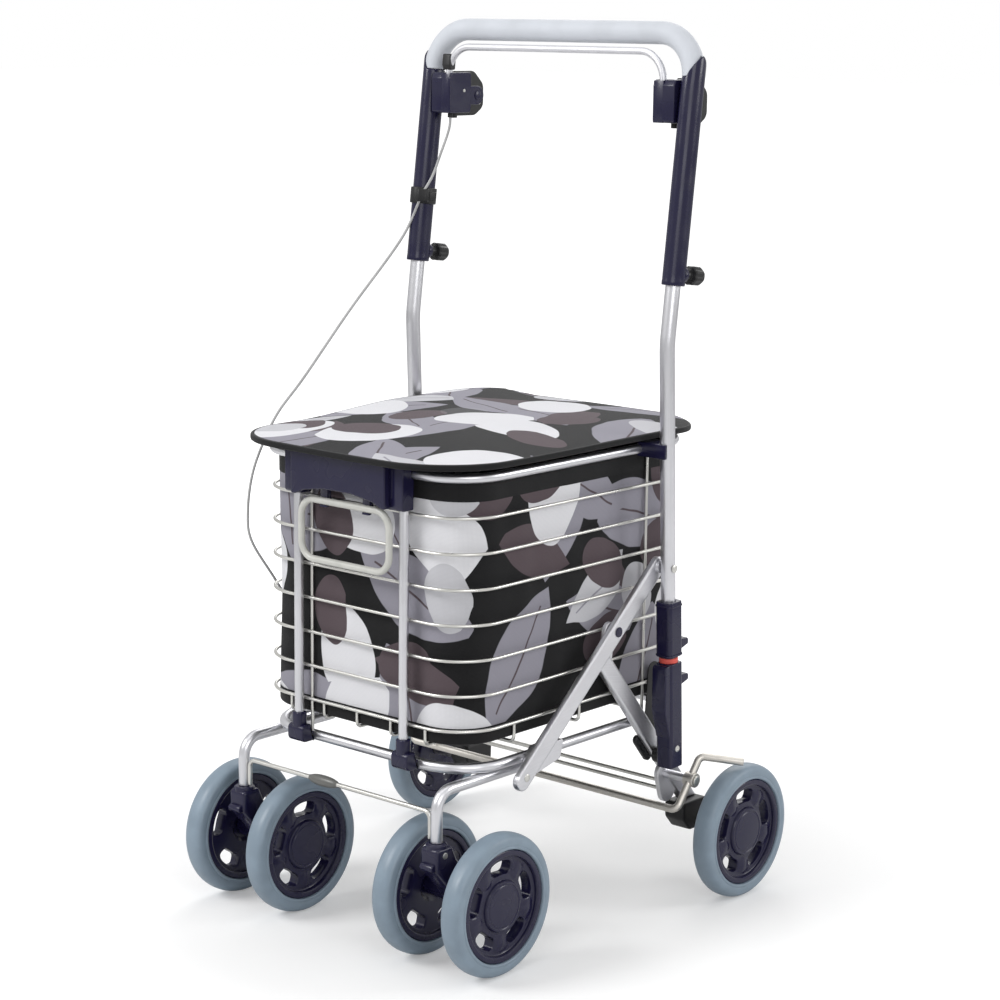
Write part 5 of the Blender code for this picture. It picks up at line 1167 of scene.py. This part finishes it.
# Height above the uprights' bend, along the handle, of the clamping knobs
KNOB_REACH = 0.0740


def sleeve_top(angle):
    """Reach of a sleeve's top at an angle round its tube: level on the inner side, and a pointed
    arch on the outer side whose fall grows with the angle to the power 1.4."""
    share = np.minimum(np.abs(angle) / (np.pi / 2), 1.0)
    height = 0.9120 - 0.0220 * share**1.4
    return (height - UPRIGHT_BEND[2]) / math.cos(HANDLE_LEAN)


def sleeve_parts():
    """An oval sleeve whose rows rise from a flared foot to the arched top and go back down the bore,
    and a boss at its back that takes the knob."""
    sides = 64
    angle = 2 * np.pi * np.arange(sides) / sides - np.pi
    around = np.stack((np.cos(angle), np.sin(angle)), -1)
    low, top = 0.0620, sleeve_top(angle)
    rows = []
    for share, grow in (
        (0.0, 0.93), (0.002, 0.985), (0.005, 1.0), (0.020, 1.0), (0.026, 0.985), (0.05, 0.985),
        (0.45, 0.985), (0.90, 0.985), (0.990, 0.985), (0.997, 0.970), (1.0, 0.93),
    ):
        rows.append(np.column_stack((around * (0.0112, 0.0142) * grow, low + (top - low) * share)))
    for share in (1.0, 0.5, 0.0):
        rows.append(np.column_stack((around * TUBE_BORE, low + (top - 0.0006 - low) * share)))
    boss = pierced(circle(0.0090, 40), (0, 0), 0.0034, 1, 0.0092, 0.0152, 0.0014, 4, 40)
    return [outward(grid(np.stack(rows), along=True)), moved(boss, (0, 0, KNOB_REACH))]


def knob_part():
    """A clamping knob turned about Y: a screw, a neck and a head whose rim is scalloped by a wave
    of eight round it."""
    rows = eased((
        (0.0, 0.0000), (0.0030, 0.0000), (0.0030, 0.0070), (0.0050, 0.0070), (0.0052, 0.0160),
        (0.0096, 0.0168), (0.0106, 0.0190), (0.0104, 0.0300), (0.0092, 0.0328), (0.0060, 0.0333),
        (0.0052, 0.0326), (0.0, 0.0324),
    ))
    a = 2 * np.pi * np.arange(96) / 96
    out, along = rows[1:-1, :1], rows[1:-1, 1:]
    share = np.clip((out - 0.0088) / 0.0012, 0, 1)
    radius = out * (1 - 0.045 * share * (1 + np.cos(8 * a)))
    points = np.stack((radius * np.cos(a), np.broadcast_to(along, radius.shape), radius * np.sin(a)), -1)
    part = outward(grid(points, poles=((0, rows[0, 1], 0), (0, rows[-1, 1], 0))))
    return moved(part, (0, 0.0090, KNOB_REACH))


def handle_line(start):
    """The pushing tube's line, up from one sleeve, across and down into the other."""
    half = [handle_point(-UPRIGHT_X, reach) for reach in (start, GRIP_REACH)]
    return bent(there_and_back(half), 0.0465, 24)


def grip_part():
    """The foam grip: a round bar on the pushing tube's line. Each line along it starts where it
    leaves the arched top of one sleeve and ends at the other's, and evenly between."""
    path = evenly(handle_line(0.2500), 1601)
    out = np.cross(unit(np.gradient(path, axis=0)), HANDLE_BACK)
    around, gap = circle(1.0, 40), 0.0005

    def rows(radius, shares):
        points = path[:, None] + radius * (around[:, :1] * out[:, None] + around[:, 1:] * HANDLE_BACK)
        local = points - (0, *UPRIGHT_BEND[1:])
        bearing = np.arctan2(local @ HANDLE_BACK, np.abs(local[..., 0]) - UPRIGHT_X)
        first = np.argmax(local @ HANDLE_UP > sleeve_top(bearing) + gap, axis=0)
        last = len(path) - 1 - first
        place = first + (last - first) * np.asarray(shares)[:, None]
        low = np.clip(place.astype(int), 0, len(path) - 2)
        part = (place - low)[..., None]
        column = np.arange(len(around))
        return points[low, column] * (1 - part) + points[low + 1, column] * part

    even = np.linspace(0, 1, 161)
    ease = (1 - np.cos(np.pi * even)) / 2
    ends = [[rows(radius, [share]) for radius in (TUBE_BORE, 0.0112)] for share in (0.0, 1.0)]
    skin = np.concatenate((*ends[0], rows(0.0120, ease * 0.4 + even * 0.6), *ends[1][::-1]))
    return outward(grid(skin, poles=(skin[0].mean(0), skin[-1].mean(0))))


def band_parts():
    """The band round the right sleeve: an oval wrap, the lug that holds the cable, and a catch."""
    lug = stadium((-0.0080, -0.0150), (-0.0132, -0.0108), 0.0038)
    catch = ((-0.0150, -0.0060), (-0.0125, -0.0060), (-0.0125, 0.0060), (-0.0150, 0.0060))
    parts = (
        block(circle((0.0133, 0.0163), 56), 2, 0.1265, 0.1445, 0.0010),
        block(lug, 2, 0.1285, 0.1425, 0.0010),
        block(rounded(catch, 0.0011), 2, 0.1310, 0.1400, 0.0008),
    )
    return [mirrored(on_handle(part)) for part in parts]


def build_handle():
    """Sleeves, clamping knobs, the foam grip on its tube, and the band that holds the cable."""
    sleeves = [on_handle(part) for part in sleeve_parts()]
    put_pairs((
        ("sleeve", sleeves, "navy_polypropylene", "handle"),
        ("knob", [on_handle(knob_part())], "black_polypropylene", "knob_{}"),
    ))
    put("grip", grip_part(), "grip_foam", "handle")
    tube = bar(handle_line(0.2340), TUBE_RADIUS, HANDLE_BACK, 22)
    put("handle_tube", tube, "anodised_aluminium", "handle")
    put("cable_band", band_parts(), "black_polypropylene", "handle")


def holder_parts():
    """A lever block: two cheeks with an ear between thin walls, a D-shaped plate outside, the
    cable's socket below, and its screws and pins."""
    front, back, low, high = 0.2845, 0.3200, 0.8430, 0.8875
    cheek = (
        (front, low), (back, low), (back + 0.0010, 0.8510), (back + 0.0010, high),
        (front + 0.0030, high), (front, high - 0.0060),
    )
    cheek = rounded(cheek, (0.0030, 0.0040, 0.0060, 0.0045, 0.0030, 0.0030), 5)
    plate = (
        (0.3070, 0.8390), (0.3420, 0.8390), (0.3560, 0.8480), (0.3560, 0.8740), (0.3400, 0.8890),
        (0.3070, 0.8890),
    )
    plate = rounded(plate, (0.0030, 0.0120, 0.0110, 0.0120, 0.0110, 0.0030), 7)
    top = high - 0.0010
    wall = ((front, low), (0.2874, low), (0.2874, top), (front + 0.0004, top))
    floor = ((front + 0.0010, low), (back - 0.0010, low), (back - 0.0010, 0.8490), (front + 0.0010, 0.8490))
    socket = ((0.1560, 0.3060, 0.8370), (0.1560, 0.3060, 0.8440))
    return [
        block(cheek, 0, 0.1425, 0.1455, 0.0009),
        block(stadium((0.3095, 0.8620), LEVER_PIVOT, 0.0105, 16), 0, 0.1428, 0.1455, 0.0009),
        block(cheek, 0, 0.1545, 0.1700),
        *finished(2, block(plate, 0, 0.1546, 0.1610, 0.0020, 4)),
        block(rounded(wall, 0.0007, 2), 0, 0.1430, 0.1560, 0.0004, 2),
        block(rounded(floor, 0.0008, 2), 0, 0.1430, 0.1560, 0.0006, 2),
        *finished(2, bar(socket, 0.0042, (1, 0, 0), 20)),
        disc(0.1429, LEVER_PIVOT, 0.0052, -0.0014),
        # The two small heads take the carry loop's pale vinyl as a painted glint, standing in for the
        # bright reflection of plated heads.
        *finished(3, disc(0.1429, (0.3090, 0.8675), 0.0019, -0.0008, 0.0002)),
        *finished(3, disc(0.1547, (0.3480, 0.8535), 0.0024, -0.0008)),
        *finished(1, disc(0.1609, (0.3430, 0.8690), 0.0030, 0.0010)),
    ]


def build_brake():
    """The lever under the grip with its eyes, the moulded blocks with D-shaped plates that hold it,
    and the bar behind the rear wheels with its eyes."""
    line = there_and_back(((0.1500, 0.3280, 0.8620), (0.1500, 0.2920, 0.8780), (0.1500, 0.2920, 0.9160)))
    rod = bar(bent(line, (0, 0.0080, 0.0300, 0.0300, 0.0080, 0), 12), 0.0038, (0, 1, 0), 20)
    eyes = both(pin(0.1463, 0.1537, LEVER_PIVOT, 0.0075, 28))
    anchor = (
        (0.2880, 0.8905), (0.2960, 0.8905), (0.2975, 0.9030), (0.2950, 0.9080), (0.2875, 0.9080),
        (0.2860, 0.8960),
    )
    anchor = finished(1, block(rounded(anchor, 0.0015), 0, -0.1560, -0.1445))
    parts = [rod, *eyes, *anchor]
    put("brake_lever", parts, "satin_lever", "brake_lever", looks=("black_polypropylene",))
    rows = [("lever_block", holder_parts(), "navy_polypropylene", "handle")]
    # The third look, the carry loop's pale vinyl, is a painted glint on the blocks' two small heads.
    put_pairs(rows, ("plated_pin", "black_polypropylene", "coated_loop"))
    line = there_and_back(((0.2374, 0.3500, 0.1555), (0.1960, 0.3260, 0.1590), (0.1960, 0.2860, 0.1070)))
    rod = bar(bent(line, 0.0080, 12), 0.0042, (0, -0.79, 0.61), 20)
    eyes = both(pin(0.1895, 0.2025, BRAKE_PIVOT, 0.0080, 28))
    put("brake_bar", [rod, *eyes], "brake_rod", "brake_bar")


# The cable's points in order, from the lever block to the brake bar
CABLE_WAY = (
    (-0.1550, 0.3000, 0.8425), (-0.1555, 0.2985, 0.8250), (-0.1600, 0.2900, 0.7980),
    (-0.1668, 0.2840, 0.7730), (-0.1708, 0.2728, 0.7545), (-0.1740, 0.2700, 0.7450),
    (-0.1900, 0.2560, 0.7000), (-0.1950, 0.1800, 0.6270), (-0.1970, 0.1100, 0.5580),
    (-0.1980, 0.0720, 0.5240), (-0.1990, 0.0500, 0.4930), (-0.2000, 0.0340, 0.4590),
    (-0.2000, 0.0270, 0.4200), (-0.1980, 0.0300, 0.3870), (-0.1940, 0.0600, 0.3410),
    (-0.1880, 0.0930, 0.2900), (-0.1800, 0.1280, 0.2350), (-0.1700, 0.1750, 0.1900),
    (-0.1600, 0.2300, 0.1500), (-0.1550, 0.2813, 0.1112),
)
# Each run's name, its first and last point, its body, and the body at its far end where it runs between two
CABLE_RUNS = (
    ("by_handle", 0, 5, "handle", None),
    ("to_upright", 5, 7, "handle", "uprights"),
    ("to_frame", 7, 11, "uprights", "frame"),
    ("by_frame", 11, 15, "frame", None),
    ("to_rear_leg", 15, 19, "frame", "rear_legs"),
)


def build_cable():
    """The brake cable in runs that meet end to end: each rides on what holds it, or, where it runs
    between the two things that hold its ends, stays where it is drawn."""
    steps = 10
    line = smooth(CABLE_WAY, steps)
    for name, first, last, body, other in CABLE_RUNS:
        way = line[first * steps : last * steps + 1]
        part = bar(way, 0.0015, (1, 0, 0), 14, edge=0.0003)
        node = "" if first else "brake_cable"
        rides_on = None if other else body
        piece = put("brake_cable_" + name, part, "cable_sheath", rides_on, node)
        if other:
            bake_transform(piece)
    ferrule = bar(line[:4], 0.0030, (1, 0, 0), 20)
    put("cable_ferrule", ferrule, "black_polypropylene", "handle", "")


# Bag and lid

BAG_FOOT, BAG_MOUTH, BAG_TURN = 0.2298, 0.4980, 0.0034
# How far tape stands out from the cloth it is sewn to
TAPE_OUT = 0.0004
LID_FRONT, LID_BACK = -0.0500, 0.3930
LID_MIDDLE = np.array((0.0, (LID_FRONT + LID_BACK) / 2))


def flat_map(part):
    """The part with its UV taken from above, in metres."""
    return {**part, "uv": [part["points"][faces][..., :2] for faces in part["faces"]]}


def bag_side(levels, out=0.0):
    """The bag's outer side at the given heights, and the directions out of it: rounded oblongs that
    are turned in at the foot by a quarter circle, and pulled in by slack folds, sums of waves round
    the bag that grow towards the middle of its height."""
    count = 336
    flat = evenly(oblong(0.1450, -0.0062, 0.3570, 0.0480, 16), count, closed=True)
    ahead = unit(np.roll(flat, -1, 0) - np.roll(flat, 1, 0))
    normal = np.stack((ahead[:, 1], -ahead[:, 0]), -1)
    z = np.asarray(levels, float)[:, None]
    t = np.clip((z - 0.2340) / (BAG_MOUTH - 0.2340), 0, 1)
    turn = 2 * np.pi * np.arange(count) / count
    # Each wave's height, its number round the bag, how it turns on the way up, and its start
    waves = ((1.0, 9, 5, 0.0), (0.7, 17, -3, 1.3), (0.6, 4, 9, 0.4), (0.4, 31, 4, 0.0))
    wave = sum(size * np.sin(number * turn + climb * t + start) for size, number, climb, start in waves)
    slack = np.sin(np.pi * np.clip(t * 0.94 + 0.03, 0, 1)) ** 0.8
    lean = bpy.context.scene.rollator_sizes.bag_sag * slack * (wave - 1.7)
    down = np.clip((BAG_FOOT - z) / BAG_TURN, 0, 1)
    away = lean - BAG_TURN * (1 - np.sqrt(np.clip(1 - down**2, 0, 1))) + out
    points = flat[None] + normal[None] * away[..., None]
    return np.concatenate((points, np.broadcast_to(z[..., None], (*away.shape, 1))), -1), normal


def sewn(outer, normal, wall):
    """A closed shell of cloth: the outer side's rows and the same rows back, a wall's thickness in."""
    inner = outer[::-1].copy()
    inner[..., :2] -= normal[None] * wall
    return outward(grid(np.concatenate((outer, inner)), along=True))


def bag_floor(edge):
    """The bag's floor inside an edge, risen a little towards its middle."""
    middle, wall = edge.mean(0), (0, 0, 0.0014)
    rings = ((0.15, 0.0008), (0.4, 0.0010), (0.7, 0.0006), (0.96, -0.0002), (0.997, 0.0))
    under = [middle + (edge - middle) * share + (0, 0, lift) for share, lift in rings]
    rows = np.stack(under + [row + wall for row in under[::-1]])
    return flat_map(outward(grid(rows, poles=(rows[0].mean(0), rows[-1].mean(0)))))


def build_bag():
    """The bag of printed cloth: its wall, its floor, and black tape sewn round its mouth and foot."""
    outer, normal = bag_side((*np.linspace(0.2264, BAG_FOOT, 6), *np.linspace(0.2335, 0.4790, 62)))
    mouth = bag_side(np.linspace(0.4770, BAG_MOUTH, 8), TAPE_OUT)
    foot = bag_side((*np.linspace(0.2268, BAG_FOOT, 5), *np.linspace(0.2340, 0.2440, 4)), TAPE_OUT)
    parts = [
        sewn(outer, normal, 0.0012),
        *finished(1, sewn(*mouth, 0.0020), sewn(*foot, 0.0010)),
        *finished(2, bag_floor(outer[0])),
    ]
    looks = ("binding_tape", "plain_cloth")
    put("bag", parts, "printed_cloth", "frame", sharp=60, looks=looks)


def lid_height(x, y, level):
    """Height of the lid's layers: the far half of its right edge is lifted by 7 mm with a quick fall
    at the rear corner, and its rear left tip droops by 3 mm."""
    rear = np.clip((y - 0.06) / 0.16, 0, 1)
    rear = rear * rear * (3 - 2 * rear) * np.clip((0.385 - y) / 0.012, 0, 1)
    side = np.clip((-x - 0.060) / 0.095, 0, 1)
    lift = 0.0070 * rear * side * side * (3 - 2 * side)
    tip = np.clip((x + y - 0.470) / 0.045, 0, 1)
    slow = 0.0006 * np.sin(21 * x + 1.0) * np.sin(17 * y)
    return level + lift - 0.0030 * tip * tip + slow


def lid_line(share, level, crown):
    """The lid's outline drawn in to a share of its size about its middle, at a level that rises to
    a crown of 11 mm and wrinkles a little on the way in. The crown is a share of both."""
    tuck = 0.0016
    edge = oblong(0.1650 - tuck, LID_FRONT + tuck, LID_BACK - tuck, 0.0850 - tuck, 22)
    x, y = (LID_MIDDLE + (evenly(edge, 288, closed=True) - LID_MIDDLE) * share).T
    wrinkle = 0.0005 * np.sin(23 * x + 11 * y) * (1 - share) * crown
    z = lid_height(x, y, level + 0.0110 * crown * (1 - share**2.4)) + wrinkle
    return np.column_stack((x, y, z))


def lid_board(high, low):
    """A crowned board between two levels, its upper and its lower side as rings drawn in to the
    middle."""
    shares = 1 - 0.985 * np.linspace(0, 1, 40) ** 0.9
    top, under = (np.stack([lid_line(share, level, 1.0) for share in shares]) for level in (high, low))
    tips = [(*LID_MIDDLE, rows[-1, :, 2].mean()) for rows in (under, top)]
    return flat_map(outward(grid(np.concatenate((under[::-1], top)), poles=tips)))


def lid_binding():
    """The bound edge: a section between an oval and a box, carried round just inside the edge."""
    thick = bpy.context.scene.rollator_sizes.lid_binding
    around = circle(1.0, 20)
    section = np.sign(around) * np.abs(around) ** 0.55 * (0.0042, thick / 2)
    line = lid_line(1.0, 0.5160, 0.0)
    inward = unit(((*LID_MIDDLE, 0.0) - line) * (1, 1, 0))
    side = square_to(inward, unit(np.roll(line, -1, 0) - np.roll(line, 1, 0)))
    return carried(line + side * 0.0026, section, side, closed=True)


def lid_strap():
    """A strap from the lid's underside, curled round the rim's rear tube."""
    hinge, wall, top = (RIM_REAR, RIM_HEIGHT), 0.0075, 0.5160
    curl = np.vstack((
        arc(hinge, RIM_BORE, -35, 110, 16),
        ((RIM_REAR - 0.0040, top), (RIM_REAR + wall, top)),
        arc(hinge, wall, 0, -35, 6),
    ))
    return block(curl, 0, 0.0350, 0.0650, 0.0005, 2)


def build_lid():
    """The crowned lid: printed cloth over a board, a plain lining under it, bound all round with
    tape, and two straps that hold it to the rim's rear tube."""
    parts = [
        lid_board(0.5190, 0.5166),
        *finished(2, lid_board(0.5165, 0.5146)),
        *finished(1, lid_binding(), *both(lid_strap())),
    ]
    looks = ("binding_tape", "plain_cloth")
    put("lid", parts, "printed_cloth", "lid", sharp=60, looks=looks)


# Stage

# The camera that was fitted to the photo, its focal length and width in the photo's pixels
CAMERA_PLACE = (1.7525, -1.9859, 0.9532)
CAMERA_TURN = tuple(math.radians(value) for value in (40.948, 11.009, 0.66))
PHOTO_FOCAL, PHOTO_WIDTH, SENSOR_WIDTH = 2502.93, 1000, 36.0
WHITE = (1.0, 1.0, 1.0)


def view_turn(yaw, pitch, roll=0.0):
    """The turn of a camera or a lamp: about Z, up from level, and about its own view."""
    turn = Matrix.Rotation(yaw, 4, "Z") @ Matrix.Rotation(math.pi / 2 + pitch, 4, "X")
    return turn @ Matrix.Rotation(roll, 4, "Z")


def link(name, data):
    """An object of the data, in the scene."""
    item = bpy.data.objects.new(name, data)
    bpy.context.scene.collection.objects.link(item)
    return item


def lamp(name, place, size, power):
    """A square soft lamp at a place in the frame's own directions, that shines on the object."""
    data = bpy.data.lights.new(name, "AREA")
    data.shape, data.size, data.energy = "SQUARE", size, power
    item = link(name, data)
    x, y, z = np.array((0.0, 0.0, 0.45)) - place
    aim = view_turn(math.atan2(-x, y), math.atan2(z, math.hypot(x, y)))
    item.matrix_world = Matrix.Translation(place) @ aim
    return item


def add_camera():
    data = bpy.data.cameras.new("camera")
    data.sensor_width, data.clip_end = SENSOR_WIDTH, 50.0
    data.lens = SENSOR_WIDTH * PHOTO_FOCAL / PHOTO_WIDTH
    camera = link("camera", data)
    yaw, pitch, roll = CAMERA_TURN
    camera.matrix_world = Matrix.Translation(CAMERA_PLACE) @ view_turn(yaw, -pitch, roll)
    bpy.context.scene.camera = camera


def add_world():
    """A white background: at full strength where it is seen, at two thirds of that where it is
    reflected, and at less as a light."""
    world = bpy.data.worlds.new("studio")
    bpy.context.scene.world = world
    world.use_nodes = True
    world.node_tree.nodes.clear()
    node = functools.partial(add_node, world.node_tree)
    paths = [node("LightPath", out=f"Is {kind} Ray") for kind in ("Camera", "Transmission")]
    seen = node("Math", paths, operation="MAXIMUM")
    mirror = node("Math", (node("LightPath", out="Is Glossy Ray"), 0.66), operation="MULTIPLY")
    level = node("Math", (seen, mirror), operation="MAXIMUM")
    level = node("Math", (level, 0.42), operation="MAXIMUM")
    node("OutputWorld", {"Surface": node("Background", {"Color": WHITE, "Strength": level})})


def add_floor():
    """A pale floor. What the lamps leave below white is added for the camera, and more of it
    further from the object."""
    size = 30.0
    mesh = bpy.data.meshes.new("floor")
    corners = [(-size, -size, 0), (size, -size, 0), (size, size, 0), (-size, size, 0)]
    mesh.from_pydata(corners, [], [(0, 1, 2, 3)])
    made, node, shader = start_finish("studio_floor", (0.80, 0.80, 0.80), 0.9, Specular_IOR_Level=0.0)
    far = node("VectorMath", [node("TexCoord", out="Object")], "Value", operation="LENGTH")
    far = node("MapRange", (far, 0.35, 1.60, 0.25, 0.85))
    shader["Emission Color"].default_value = (*WHITE, 1.0)
    seen = node("LightPath", out="Is Camera Ray")
    node("Math", (seen, far), to=shader["Emission Strength"], operation="MULTIPLY")
    mesh.materials.append(made)
    link("floor", mesh)


def build_stage():
    """Camera, floor, white background and soft studio lamps."""
    bpy.context.scene.view_settings.view_transform = "Standard"
    add_camera()
    add_world()
    add_floor()
    for name, place, size, power in (
        ("lamp_key", (-1.2, -2.2, 2.2), 1.2, 46.0),
        ("lamp_fill", (2.4, -1.4, 1.6), 1.6, 18.0),
        ("lamp_side", (2.2, 1.8, 1.4), 1.0, 18.0),
        ("lamp_back", (-1.2, 2.4, 2.2), 2.0, 26.0),
        ("lamp_top", (0.0, 0.0, 3.2), 2.4, 18.0),
    ):
        lamp(name, place, size, power)


# Add-on


class ROLLATOR_OT_wheels(bpy.types.Operator):
    """Six wheels: rubber tyres on moulded hubs"""

    bl_idname = "rollator.add_wheels"
    bl_label = "Add wheels"

    def execute(self, context):
        build_wheels()
        return {"FINISHED"}


class ROLLATOR_OT_casters(bpy.types.Operator):
    """Forks, front axles, caster tubes and the rod between them"""

    bl_idname = "rollator.add_casters"
    bl_label = "Add casters"

    def execute(self, context):
        build_casters()
        return {"FINISHED"}


class ROLLATOR_OT_basket(bpy.types.Operator):
    """Base frame, rim, welded wire and rim clips"""

    bl_idname = "rollator.add_basket"
    bl_label = "Add basket"

    def execute(self, context):
        build_basket()
        return {"FINISHED"}


class ROLLATOR_OT_front(bpy.types.Operator):
    """Posts with their feet, the front plate and the carry loop"""

    bl_idname = "rollator.add_front"
    bl_label = "Add front"

    def execute(self, context):
        build_front()
        return {"FINISHED"}


class ROLLATOR_OT_bag(bpy.types.Operator):
    """The bag of printed cloth"""

    bl_idname = "rollator.add_bag"
    bl_label = "Add bag"

    def execute(self, context):
        build_bag()
        return {"FINISHED"}


class ROLLATOR_OT_lid(bpy.types.Operator):
    """The lid with its binding and straps"""

    bl_idname = "rollator.add_lid"
    bl_label = "Add lid"

    def execute(self, context):
        build_lid()
        return {"FINISHED"}


class ROLLATOR_OT_legs(bpy.types.Operator):
    """Front and rear legs, rear feet, rear axles and rods"""

    bl_idname = "rollator.add_legs"
    bl_label = "Add legs"

    def execute(self, context):
        build_legs()
        return {"FINISHED"}


class ROLLATOR_OT_uprights(bpy.types.Operator):
    """Uprights, lock housings and finger collars"""

    bl_idname = "rollator.add_uprights"
    bl_label = "Add uprights"

    def execute(self, context):
        build_uprights()
        return {"FINISHED"}


class ROLLATOR_OT_handle(bpy.types.Operator):
    """Sleeves, knobs, grip, handle tube and cable band"""

    bl_idname = "rollator.add_handle"
    bl_label = "Add handle"

    def execute(self, context):
        build_handle()
        return {"FINISHED"}


class ROLLATOR_OT_brake(bpy.types.Operator):
    """Lever, its blocks and the brake bar"""

    bl_idname = "rollator.add_brake"
    bl_label = "Add brake"

    def execute(self, context):
        build_brake()
        return {"FINISHED"}


class ROLLATOR_OT_cable(bpy.types.Operator):
    """The cable from the lever to the brake bar"""

    bl_idname = "rollator.add_cable"
    bl_label = "Add brake cable"

    def execute(self, context):
        build_cable()
        return {"FINISHED"}


class ROLLATOR_OT_stage(bpy.types.Operator):
    """Camera, floor, background and lamps"""

    bl_idname = "rollator.add_stage"
    bl_label = "Add stage"

    def execute(self, context):
        build_stage()
        return {"FINISHED"}


OPERATORS = (
    ROLLATOR_OT_wheels,
    ROLLATOR_OT_casters,
    ROLLATOR_OT_basket,
    ROLLATOR_OT_front,
    ROLLATOR_OT_bag,
    ROLLATOR_OT_lid,
    ROLLATOR_OT_legs,
    ROLLATOR_OT_uprights,
    ROLLATOR_OT_handle,
    ROLLATOR_OT_brake,
    ROLLATOR_OT_cable,
    ROLLATOR_OT_stage,
)


class ROLLATOR_PT_panel(bpy.types.Panel):
    """Sizes, colours and the pieces to add"""

    bl_label = "Shopping rollator"
    bl_space_type = "VIEW_3D"
    bl_region_type = "UI"
    bl_category = "Rollator"

    def draw(self, context):
        layout, scene = self.layout, context.scene
        for title, group in (("Sizes", scene.rollator_sizes), ("Colours", scene.rollator_colours)):
            box = layout.box()
            box.label(text=title)
            for key in type(group).__annotations__:
                box.prop(group, key)
        column = layout.column(align=True)
        for operator in OPERATORS:
            column.operator(operator.bl_idname)


CLASSES = (RollatorColours, RollatorSizes, *OPERATORS, ROLLATOR_PT_panel)


def register():
    for each in CLASSES:
        bpy.utils.register_class(each)
    bpy.types.Scene.rollator_colours = bpy.props.PointerProperty(type=RollatorColours)
    bpy.types.Scene.rollator_sizes = bpy.props.PointerProperty(type=RollatorSizes)


def unregister():
    del bpy.types.Scene.rollator_sizes
    del bpy.types.Scene.rollator_colours
    for each in reversed(CLASSES):
        bpy.utils.unregister_class(each)


def main():
    register()
    for operator in OPERATORS:
        add = getattr(bpy.ops.rollator, operator.bl_idname.split(".")[1])
        if add() != {"FINISHED"}:
            raise RuntimeError(f"{operator.bl_label} did not finish")


if __name__ == "__main__":
    main()
